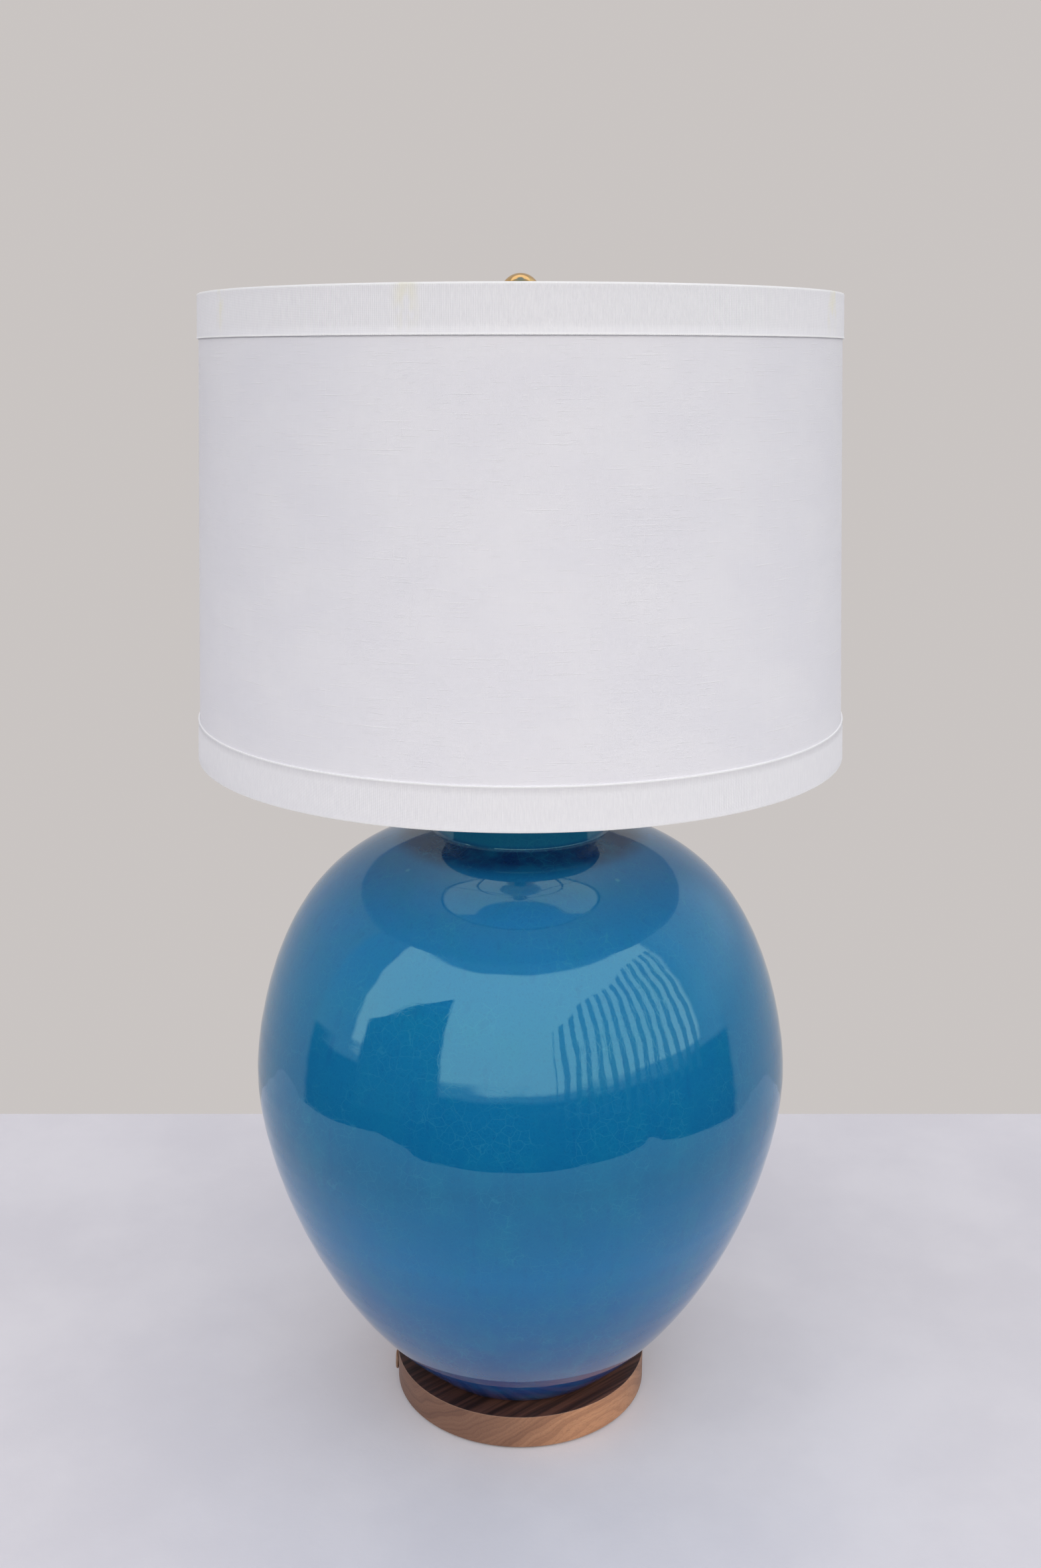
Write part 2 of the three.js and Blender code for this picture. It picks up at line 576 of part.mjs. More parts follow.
// ---------------------------------------------------------------- bulb
function addBulb() {
  const tip = turn([
    [0, BULB_TIP_Z], [2.4, BULB_TIP_Z + 0.3], [2.8, BULB_TIP_Z + 1.2], [0, BULB_TIP_Z + 1.2],
  ], SMALL_SIDES);
  addPart('bulb_contact', tip, 0xb9bbbd, 0.4, 1);
  const insulator = turn([
    [0, BULB_TIP_Z + 1.5], [4.2, BULB_TIP_Z + 1.5], [9.4, BULB_BASE_Z - GAP], [0, BULB_BASE_Z - GAP],
  ], SMALL_SIDES);
  addPart('bulb_insulator', insulator, 0x17161a, 0.2, 0);

  const threadZ = SCREW_SHELL_Z + THREAD_START + THREAD_PITCH;
  const crests = threadOutline(BULB_BASE_R, threadZ, true).filter(([, z]) => z < BULB_BASE_TOP_Z - 1);
  const base = turn([
    [6, BULB_BASE_Z],
    [9.8, BULB_BASE_Z],
    [BULB_BASE_R, BULB_BASE_Z + 2],
    ...crests.filter(([, z]) => z > BULB_BASE_Z + 2.2),
    [BULB_BASE_R, BULB_BASE_TOP_Z],
    [BULB_BASE_R - 0.5, BULB_BASE_TOP_Z],
    [BULB_BASE_R - 0.9, BULB_BASE_Z + 3],
    [9.4, BULB_BASE_Z + 0.5],
    [6, BULB_BASE_Z + 0.5],
  ], SMALL_SIDES);
  addPart('bulb_base', base, 0xc6c8ca, 0.3, 1);

  const glassTop = BULB_TIP_Z + BULB_HEIGHT;
  const neckR = BULB_BASE_R - 1.3;
  const swell = [
    [neckR, BULB_BASE_TOP_Z - 12],
    [neckR, BULB_BASE_TOP_Z],
    [neckR + 3, BULB_BASE_TOP_Z + 11],
    [BULB_GLASS_R - 9, BULB_BASE_TOP_Z + 26],
    [BULB_GLASS_R - 2.2, BULB_BASE_TOP_Z + 41],
    [BULB_GLASS_R, glassTop - 30],
    [BULB_GLASS_R - 2.4, glassTop - 17],
    [BULB_GLASS_R - 9.5, glassTop - 5.8],
    [BULB_GLASS_R - 20, glassTop - 0.8],
    [0, glassTop],
  ];
  const curve = new THREE.SplineCurve(swell.map(([r, z]) => new THREE.Vector2(r, z)));
  const outside = [];
  const inside = [];
  for (let i = 0; i <= BULB_STEPS; i += 1) {
    const point = curve.getPoint(i / BULB_STEPS);
    const along = curve.getTangent(i / BULB_STEPS);
    outside.push([point.x, point.y]);
    inside.unshift([point.x - BULB_WALL * along.y, point.y + BULB_WALL * along.x]);
  }
  outside[BULB_STEPS] = [0, glassTop];
  inside[0] = [0, glassTop - BULB_WALL];
  const bulb = turn([...inside, ...outside], MID_SIDES);
  addPart('bulb_glass', bulb, 0xf2efe6, 0.25, 0);
}

// ---------------------------------------------------------------- shade
// Radius of the outside of the shade at a height.
function shadeR(z) {
  const down = (SHADE_TOP_Z - z) / (SHADE_TOP_Z - SHADE_BOTTOM_Z);
  return SHADE_TOP_R + down * (SHADE_BOTTOM_R - SHADE_TOP_R);
}

function shadeShell(depth, sheet, edge) {
  const bottom = SHADE_BOTTOM_Z + edge;
  const top = SHADE_TOP_Z - edge;
  return turn([
    [shadeR(bottom) - depth - sheet, bottom],
    [shadeR(bottom) - depth, bottom],
    [shadeR(top) - depth, top],
    [shadeR(top) - depth - sheet, top],
  ], BIG_SIDES);
}

// Ribbon folded over one rim; direction is +1 at the top rim and -1 at the bottom one.
function trimOutline(rimZ, direction) {
  const at = (inset, depth) => {
    const z = rimZ - direction * depth;
    return [shadeR(z) - inset, z];
  };
  return [
    at(0, TRIM_WIDTH),
    at(0, 0),
    at(TRIM_FOLD_WIDTH, 0),
    at(TRIM_FOLD_WIDTH, TRIM_FOLD_DEPTH),
    at(TRIM_FOLD_WIDTH - TRIM_SHEET, TRIM_FOLD_DEPTH),
    at(TRIM_FOLD_WIDTH - TRIM_SHEET, TRIM_SHEET),
    at(TRIM_SHEET, TRIM_SHEET),
    at(TRIM_SHEET, TRIM_WIDTH),
  ];
}

function addShade() {
  const fabricDepth = TRIM_SHEET + GAP;
  const linerDepth = fabricDepth + FABRIC_SHEET + GAP;
  const edge = TRIM_SHEET + GAP;
  addPart('shade_fabric', shadeShell(fabricDepth, FABRIC_SHEET, edge), 0xd4d3d6, 0.9, 0);
  addPart('shade_liner', shadeShell(linerDepth, LINER_SHEET, edge), 0xeceae4, 0.6, 0);

  const ringInset = linerDepth + LINER_SHEET + GAP + RING_WIRE_R;
  const ringEdge = edge + RING_WIRE_R;
  const ringAt = (z) => {
    const section = circleOutline(shadeR(z) - ringInset, z, RING_WIRE_R, RING_WIRE_SIDES);
    return turn(section, BIG_SIDES);
  };
  addPart('top_ring', ringAt(SHADE_TOP_Z - ringEdge), 0xb9a878, 0.35, 1);
  addPart('bottom_ring', ringAt(SHADE_BOTTOM_Z + ringEdge), 0xb9a878, 0.35, 1);

  const hub = turn([
    [HUB_HOLE_R, HUB_Z],
    [HUB_R - 0.5, HUB_Z],
    [HUB_R, HUB_Z + 0.5],
    [HUB_R, HUB_Z + HUB_THICK - 0.5],
    [HUB_R - 0.5, HUB_Z + HUB_THICK],
    [HUB_HOLE_R, HUB_Z + HUB_THICK],
  ], MID_SIDES);
  addPart('spider_hub', hub, 0xb59a5a, 0.3, 1);

  const ringZ = SHADE_TOP_Z - ringEdge;
  const armEndR = shadeR(ringZ) - ringInset - RING_WIRE_R - GAP;
  const armZ = HUB_Z + HUB_THICK / 2;
  const notches = [];
  for (let i = 0; i < ARM_COUNT; i += 1) {
    const angle = THREE.MathUtils.degToRad(ARM_FIRST_DEG + (i * 360) / ARM_COUNT);
    const line = new THREE.CatmullRomCurve3([
      new THREE.Vector3(HUB_R + GAP, 0, armZ),
      new THREE.Vector3(ARM_BEND_R * 0.6, 0, armZ),
      new THREE.Vector3(ARM_BEND_R, 0, armZ),
      new THREE.Vector3(armEndR - 5, 0, ringZ - 5),
      new THREE.Vector3(armEndR - 0.4, 0, ringZ),
    ], false, 'centripetal');
    addPart(`spider_arm_${i + 1}`, wire(line, ARM_WIRE_R, ARM_STEPS).rotateZ(angle), 0xb59a5a, 0.3, 1);
    const notch = box(
      armEndR - 12, armEndR + RING_WIRE_R, -ARM_NOTCH_HALF_WIDTH, ARM_NOTCH_HALF_WIDTH,
      SHADE_TOP_Z - TRIM_FOLD_DEPTH - 1, SHADE_TOP_Z - TRIM_SHEET,
    );
    notches.push(notch.rotateZ(angle));
  }

  const topTrim = turn(trimOutline(SHADE_TOP_Z, 1), BIG_SIDES);
  addPart('top_trim', cut(topTrim, ...notches), 0xe6e3e1, 0.85, 0);
  addPart('bottom_trim', turn(trimOutline(SHADE_BOTTOM_Z, -1), BIG_SIDES), 0xe6e3e1, 0.85, 0);
}

// ---------------------------------------------------------------- finial
function addFinial() {
  const footTop = FINIAL_Z + FINIAL_FOOT_HEIGHT;
  const neckTop = FINIAL_Z + FINIAL_NECK_HEIGHT;
  const foot = turn([
    [FINIAL_BORE_R, FINIAL_Z],
    [FINIAL_FOOT_R, FINIAL_Z],
    [FINIAL_FOOT_R, FINIAL_Z + 1.6],
    [FINIAL_NECK_R, footTop],
    [FINIAL_NECK_R, neckTop],
    [0, neckTop],
    [0, neckTop - 2],
    [FINIAL_BORE_R, neckTop - 2],
  ], MID_SIDES);
  addPart('finial_foot', foot, 0xc2964a, 0.22, 1);

  const centreZ = BALL_TOP_Z - BALL_R;
  const boreR = FINIAL_NECK_R + GAP;
  const startAngle = Math.acos(boreR / BALL_R);
  const outline = [];
  for (let i = 0; i <= BALL_STEPS; i += 1) {
    const angle = -startAngle + (i * (startAngle + Math.PI / 2)) / BALL_STEPS;
    outline.push([Math.max(BALL_R * Math.cos(angle), 0), centreZ + BALL_R * Math.sin(angle)]);
  }
  outline.reverse();
  outline[0][0] = 0;
  outline.push([boreR, neckTop + GAP], [0, neckTop + GAP]);
  addPart('finial_ball', turn(outline, MID_SIDES), 0xc2964a, 0.15, 1);
}

addBase();
addJar();
addStack();
addHarp();
addHolder();
addBulb();
addShade();
addFinial();

export default lamp;
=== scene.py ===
"""Looks of the table lamp: glazed jar, walnut disc, brass fittings and linen drum shade.

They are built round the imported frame. Shapes are worked out in millimetres in the lamp's own
frame (+Z up, front at -Y) and handed to Blender in metres.
"""
import functools
import json
import math

import bmesh
import bpy
import numpy as np
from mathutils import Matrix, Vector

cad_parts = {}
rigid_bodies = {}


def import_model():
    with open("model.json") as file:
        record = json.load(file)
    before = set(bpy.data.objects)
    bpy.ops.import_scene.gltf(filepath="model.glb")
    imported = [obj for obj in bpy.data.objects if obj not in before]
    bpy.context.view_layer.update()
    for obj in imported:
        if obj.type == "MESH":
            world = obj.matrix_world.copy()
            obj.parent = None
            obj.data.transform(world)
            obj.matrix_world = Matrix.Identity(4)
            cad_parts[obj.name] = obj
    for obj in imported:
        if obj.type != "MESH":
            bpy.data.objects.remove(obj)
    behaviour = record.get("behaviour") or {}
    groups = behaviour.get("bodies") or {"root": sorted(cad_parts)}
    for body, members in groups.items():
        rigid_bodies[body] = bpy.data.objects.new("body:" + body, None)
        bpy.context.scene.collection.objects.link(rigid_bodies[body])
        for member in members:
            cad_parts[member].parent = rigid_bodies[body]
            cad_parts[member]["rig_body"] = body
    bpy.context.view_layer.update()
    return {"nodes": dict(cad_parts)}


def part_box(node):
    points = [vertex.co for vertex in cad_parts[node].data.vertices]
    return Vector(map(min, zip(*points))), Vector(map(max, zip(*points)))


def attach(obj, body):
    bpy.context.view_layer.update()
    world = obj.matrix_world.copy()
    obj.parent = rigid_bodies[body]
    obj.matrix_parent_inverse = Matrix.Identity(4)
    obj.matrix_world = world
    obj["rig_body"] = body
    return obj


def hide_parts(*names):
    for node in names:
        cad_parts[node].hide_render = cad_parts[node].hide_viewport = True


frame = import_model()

MM = 0.001
TAU = 2 * math.pi


# --- sizes, all from the frame
BOXES = {node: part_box(node) for node in frame["nodes"]}


def low(node):
    return BOXES[node][0].z / MM


def high(node):
    return BOXES[node][1].z / MM


def reach(node):
    """Outer radius of a node that is turned about the lamp's axis."""
    return BOXES[node][1].x / MM


def ends(node):
    """A node's lowest and highest heights."""
    return low(node), high(node)


def spans(node):
    """A turned node's lowest height, highest height and outer radius."""
    return low(node), high(node), reach(node)


def middle_height(node):
    return (BOXES[node][0].z + BOXES[node][1].z) / 2 / MM


SHADE_TOP, SHADE_BOTTOM = high("top_trim"), low("bottom_trim")
TRIM_WIDTH = SHADE_TOP - low("top_trim")
SHADE_BOTTOM_R = reach("bottom_trim")
SHADE_FLARE = (SHADE_BOTTOM_R - reach("top_trim")) / (low("top_trim") - SHADE_BOTTOM)
SHADE_TOP_R = reach("top_trim") - SHADE_FLARE * TRIM_WIDTH
SEAM_ANGLE = math.radians(90)   # the shade's seam is at the back
ARM_COUNT = 4
ARM_FIRST = math.radians(54)
THREAD_PITCH = 3.63             # the bulb's screw
ROD_PITCH, STUD_PITCH = 0.94, 0.79
THREAD_DEPTH = 0.30             # on the rod and the stud
ROD_HOLE = 5.4                  # radius of the hole in every piece on the rod
LEG_X = 30                      # the harp's legs


# --- curves and outlines
def smooth_curve(points, steps):
    """A natural cubic through the points, by chord length, sampled in even steps."""
    p = np.array(points, float)
    chord = np.linalg.norm(np.diff(p, axis=0), axis=1)
    t = np.concatenate([[0], np.cumsum(chord)])
    n = len(t)
    system, right = np.eye(n), np.zeros(p.shape)
    for i in range(1, n - 1):
        system[i, i - 1:i + 2] = chord[i - 1], 2 * (chord[i - 1] + chord[i]), chord[i]
        right[i] = 6 * ((p[i + 1] - p[i]) / chord[i] - (p[i] - p[i - 1]) / chord[i - 1])
    bend = np.linalg.solve(system, right)
    at = np.linspace(0, t[-1], steps + 1)
    k = np.clip(np.searchsorted(t, at, side="right") - 1, 0, n - 2)
    span = chord[k][:, None]
    a = (t[k + 1] - at)[:, None]
    b = (at - t[k])[:, None]
    before = (p[k] / span - bend[k] * span / 6) * a
    after = (p[k + 1] / span - bend[k + 1] * span / 6) * b
    return before + after + (bend[k] * a ** 3 + bend[k + 1] * b ** 3) / (6 * span)


def rounded(corners, steps=5):
    """A closed outline from corners (radius, height[, rounding]), rounded where they say so."""
    out = []
    count = len(corners)
    for i, corner in enumerate(corners):
        p = np.array(corner[:2], float)
        size = corner[2] if len(corner) > 2 else 0
        if not size:
            out.append(p)
            continue
        back = np.array(corners[i - 1][:2]) - p
        ahead = np.array(corners[(i + 1) % count][:2]) - p
        back_length, ahead_length = np.linalg.norm(back), np.linalg.norm(ahead)
        back, ahead = back / back_length, ahead / ahead_length
        half = math.acos(max(-1, min(1, back @ ahead))) / 2
        cut = min(size / math.tan(half), 0.49 * back_length, 0.49 * ahead_length)
        start, end = p + back * cut, p + ahead * cut
        weight = math.sin(half)
        for s in np.linspace(0, 1, steps + 1):
            a, b, c = (1 - s) ** 2, 2 * s * (1 - s) * weight, s * s
            out.append((a * start + b * p + c * end) / (a + b + c))
    return out


def subdivided(outline, longest):
    """The closed outline with its long straight stretches cut into steps no longer than this."""
    out = []
    for i, p in enumerate(outline):
        q = np.array(outline[(i + 1) % len(outline)], float)
        p = np.array(p, float)
        steps = max(1, math.ceil(np.linalg.norm(q - p) / longest))
        out += [p + (q - p) * k / steps for k in range(steps)]
    return out


def inset(outline, depth):
    """An open outline moved inwards by a depth, along its own normals."""
    along = np.gradient(outline, axis=0)
    along /= np.linalg.norm(along, axis=1)[:, None]
    return np.stack([outline[:, 0] - depth * along[:, 1], outline[:, 1] + depth * along[:, 0]], -1)


# --- meshes
def mesh_object(name, points_mm, faces):
    mesh = bpy.data.meshes.new(name)
    mesh.from_pydata((np.asarray(points_mm, float) * MM).tolist(), [], faces)
    made = bpy.data.objects.new(name, mesh)
    bpy.context.scene.collection.objects.link(made)
    return made


def welded(made, sharp=35):
    """Merges doubled points, turns the faces outwards and smooths all but the sharp edges."""
    bm = bmesh.new()
    bm.from_mesh(made.data)
    bmesh.ops.remove_doubles(bm, verts=bm.verts, dist=1e-6)
    bmesh.ops.dissolve_degenerate(bm, edges=bm.edges, dist=1e-7)
    bmesh.ops.recalc_face_normals(bm, faces=bm.faces)
    bm.to_mesh(made.data)
    bm.free()
    shade(made, sharp)
    return made


def shade(made, sharp=35):
    made.data.shade_smooth()
    made.data.set_sharp_from_angle(angle=math.radians(sharp))


def lathe(name, outline, sides=64, wave=None, axis="z", middle=(0, 0, 0)):
    """A closed outline of (radius, height) turned about an axis.

    wave(angle, r, z) gives what to add to the radius, or the new radius and height.
    """
    o = np.array(outline, float)
    area = np.sum(o[:, 0] * np.roll(o[:, 1], -1) - np.roll(o[:, 0], -1) * o[:, 1])
    if area < 0:
        o = o[::-1]
    count = len(o)
    angle = (TAU * np.arange(sides) / sides)[:, None]
    r = np.broadcast_to(o[:, 0], (sides, count)).copy()
    z = np.broadcast_to(o[:, 1], (sides, count)).copy()
    if wave:
        extra = wave(angle, r, z)
        r, z = (extra[0], extra[1]) if isinstance(extra, tuple) else (r + extra, z)
    x, y = r * np.cos(angle), r * np.sin(angle)
    if axis == "-x":
        points = np.stack([-z, -y, x], -1)
    elif axis == "-y":
        points = np.stack([-x, -z, y], -1)
    else:
        points = np.stack([x, y, z], -1)
    points = points.reshape(-1, 3) + np.array(middle, float)
    i, j = np.meshgrid(np.arange(sides), np.arange(count), indexing="ij")
    ii, jj = (i + 1) % sides, (j + 1) % count
    quads = np.stack([i * count + j, ii * count + j, ii * count + jj, i * count + jj], -1)
    made = mesh_object(name, points, quads.reshape(-1, 4).tolist())
    if np.any(o[:, 0] < 1e-6) or axis != "z":
        return welded(made)
    shade(made)
    return made


def sweep(name, path, radius, sides=14, closed=False):
    """A round wire along a path; radius is one number or one a point. Open ends are domed."""
    p = np.array(path, float)
    r = np.broadcast_to(np.array(radius, float), (len(p),)).copy()
    if not closed:
        domes = [(math.sin(a), math.cos(a)) for a in map(math.radians, (30, 60, 90))]
        first, last = p[0] - p[1], p[-1] - p[-2]
        first, last = first / np.linalg.norm(first), last / np.linalg.norm(last)
        head = [p[0] + first * r[0] * s for s, _ in domes][::-1]
        tail = [p[-1] + last * r[-1] * s for s, _ in domes]
        r = np.concatenate([[r[0] * c for _, c in domes][::-1], r, [r[-1] * c for _, c in domes]])
        p = np.concatenate([head, p, tail])
    n = len(p)
    if closed:
        along = np.roll(p, -1, 0) - np.roll(p, 1, 0)
    else:
        along = np.gradient(p, axis=0)
    along /= np.linalg.norm(along, axis=1)[:, None]
    side = np.cross(along[0], [0, 0, 1])
    if np.linalg.norm(side) < 0.1:
        side = np.cross(along[0], [0, 1, 0])
    rings = []
    angles = TAU * np.arange(sides) / sides
    for k in range(n):
        side = side - along[k] * (side @ along[k])
        side /= np.linalg.norm(side)
        up = np.cross(along[k], side)
        circle = np.cos(angles)[:, None] * side + np.sin(angles)[:, None] * up
        rings.append(p[k] + r[k] * circle)
    faces = []
    for k in range(n if closed else n - 1):
        a, b = k * sides, ((k + 1) % n) * sides
        for i in range(sides):
            j = (i + 1) % sides
            faces.append((a + i, a + j, b + j, b + i))
    return welded(mesh_object(name, np.concatenate(rings), faces), 50)


def drilled(made, cutter):
    """Takes the cutter's shape out of made, and removes the cutter."""
    tool = made.modifiers.new("hole", "BOOLEAN")
    tool.operation, tool.object, tool.solver = "DIFFERENCE", cutter, "EXACT"
    bpy.context.view_layer.update()
    evaluated = made.evaluated_get(bpy.context.evaluated_depsgraph_get())
    shape = bpy.data.meshes.new_from_object(evaluated)
    made.modifiers.clear()
    made.data = shape
    bpy.data.objects.remove(cutter)
    shade(made)


def carried_round(angle, point):
    """The point (radius, sideways, height) carried round the lamp's axis by an angle."""
    r, s, z = point
    return [r * math.cos(angle) - s * math.sin(angle), r * math.sin(angle) + s * math.cos(angle), z]


def stands_for(made, node, finish):
    """made takes the place of a CAD node: its body and its finish."""
    made.data.materials.clear()
    made.data.materials.append(finish)
    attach(made, frame["nodes"][node]["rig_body"])
    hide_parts(node)


def turned(node, outline, finish, sides, wave=None, axis="z", middle=(0, 0, 0)):
    """A lathed piece stands for a node; a corner of its outline may carry a rounding."""
    made = lathe(node + "_looks", rounded(outline), sides, wave, axis, middle)
    stands_for(made, node, finish)


def keeps(node, finish, bevel):
    """A CAD node whose shape is right stays, with softened edges and a better finish."""
    kept = frame["nodes"][node]
    for s in kept.material_slots:
        s.material = finish
    soft = kept.modifiers.new("soft_edges", "BEVEL")
    soft.width, soft.segments, soft.limit_method = bevel * MM, 2, "ANGLE"
    soft.angle_limit = math.radians(40)


# --- node trees
class Nodes:
    """Short names for making and linking shader nodes in one tree."""

    def __init__(self, tree):
        self.tree = tree
        tree.nodes.clear()

    def feed(self, socket, value):
        if isinstance(value, bpy.types.NodeSocket):
            self.tree.links.new(value, socket)
        elif isinstance(value, tuple) and socket.type == "RGBA":
            socket.default_value = (*value, 1)[:4]
        else:
            socket.default_value = value

    def node(self, kind, options=None, **inputs):
        made = self.tree.nodes.new("ShaderNode" + kind)
        for key, value in (options or {}).items():
            setattr(made, key, value)
        for key, value in inputs.items():
            self.feed(made.inputs[key.replace("_", " ")], value)
        return made

    def math(self, operation, *values, kind="Math", output=0):
        made = self.node(kind, {"operation": operation})
        for socket, value in zip(made.inputs, values):
            self.feed(socket, value)
        return made.outputs[output]

    def times(self, first, second):
        return self.math("MULTIPLY", first, second)

    def over(self, first, second):
        return self.math("DIVIDE", first, second)

    def plus(self, first, second):
        return self.math("ADD", first, second)

    def minus(self, first, second):
        return self.math("SUBTRACT", first, second)

    def scaled_plus(self, value, factor, extra):
        return self.math("MULTIPLY_ADD", value, factor, extra)

    def vector(self, operation, *values):
        return self.math(operation, *values, kind="VectorMath")

    def length(self, operation, *values):
        """The number that LENGTH or DISTANCE gives."""
        return self.math(operation, *values, kind="VectorMath", output="Value")

    def combine(self, x=0.0, y=0.0, z=0.0):
        return self.node("CombineXYZ", X=x, Y=y, Z=z).outputs[0]

    def noise(self, where, scale, detail=2.0, roughness=0.5, distortion=0.0):
        return self.node("TexNoise", Vector=where, Scale=scale, Detail=detail,
                         Roughness=roughness, Distortion=distortion).outputs["Fac"]

    def step(self, value, start, end, low_value=0.0, high_value=1.0):
        """Rises smoothly from low_value at start to high_value at end."""
        made = self.node("MapRange", {"interpolation_type": "SMOOTHSTEP"}, Value=value)
        ends = {"From Min": start, "From Max": end, "To Min": low_value, "To Max": high_value}
        for name, number in ends.items():
            self.feed(made.inputs[name], number)
        return made.outputs[0]

    def between(self, value, start, end, soft):
        """1 between start and end, 0 outside, with soft edges."""
        rise = self.step(value, start - soft, start + soft)
        fall = self.step(value, end - soft, end + soft, 1.0, 0.0)
        return self.times(rise, fall)

    def ramp(self, value, *stops):
        made = self.node("ValToRGB", Fac=value)
        while len(made.color_ramp.elements) < len(stops):
            made.color_ramp.elements.new(0.5)
        for element, (at, colour) in zip(made.color_ramp.elements, stops):
            element.position = at
            element.color = (*colour, 1)
        return made.outputs[0]

    def mix(self, factor, first, second, blend="MIX"):
        made = self.node("Mix", {"data_type": "RGBA", "blend_type": blend})
        for index, value in ((0, factor), (6, first), (7, second)):
            self.feed(made.inputs[index], value)
        return made.outputs[2]

    def tint(self, colour, where, amount, other, blend="MIX"):
        """The colour, turned towards another by an amount where a mask says."""
        return self.mix(self.times(where, amount), colour, other, blend)


class Finish(Nodes):
    """A procedural material on a Principled shader; place is the point in the lamp's frame."""

    def __init__(self, name, **shader):
        self.material = bpy.data.materials.new(name)
        self.material.use_nodes = True
        super().__init__(self.material.node_tree)
        output = self.node("OutputMaterial")
        self.shader = self.node("BsdfPrincipled", **shader)
        self.feed(output.inputs[0], self.shader.outputs[0])
        scale = self.node("VectorMath", {"operation": "SCALE"}, Scale=1 / MM)
        self.feed(scale.inputs[0], self.node("TexCoord").outputs["Object"])
        self.place = scale.outputs[0]
        parts = self.node("SeparateXYZ", Vector=self.place)
        self.x, self.y, self.z = parts.outputs
        self.relief = None

    def around(self):
        """Angle round the lamp's axis, in radians."""
        return self.math("ARCTAN2", self.y, self.x)

    def stretched(self, x, y, z):
        """The point, with each direction divided by its own length."""
        return self.vector("DIVIDE", self.place, self.combine(float(x), float(y), float(z)))

    def cloth(self, girth, length, height, seed=0.0):
        """The point on the shade's cloth, with girth and height divided by their own lengths."""
        return self.combine(self.over(girth, length), self.over(self.z, height), seed)

    def bump(self, height, depth_mm):
        made = self.node("Bump", Height=height, Distance=depth_mm * MM, Strength=1.0)
        if self.relief:
            self.feed(made.inputs["Normal"], self.relief)
        self.relief = made.outputs[0]

    def done(self, colour, roughness):
        self.feed(self.shader.inputs["Base Color"], colour)
        self.feed(self.shader.inputs["Roughness"], roughness)
        self.feed(self.shader.inputs["Normal"], self.relief)
        return self.material


# --- finishes: colours are linear, lengths and heights in millimetres
NECK_CREASE_SHADE_Z = (401.5, 408.8)     # painted shade in the crease at the foot of the neck
NECK_Z = (408.5, 411.5)
RIM_Z = (434.5, 438.5)          # the glaze runs thin over the lip
FOOT_CONTACT_SHADOW = (1.2, 3.0)          # above the jar's lowest point: a painted contact shadow
# Two pinholes: each gets a small bump and is painted lighter, a painted glint.
PINHOLE_GLINTS = ((-69.8, -60.6, 396.9), (59.1, -75.6, 395.4))


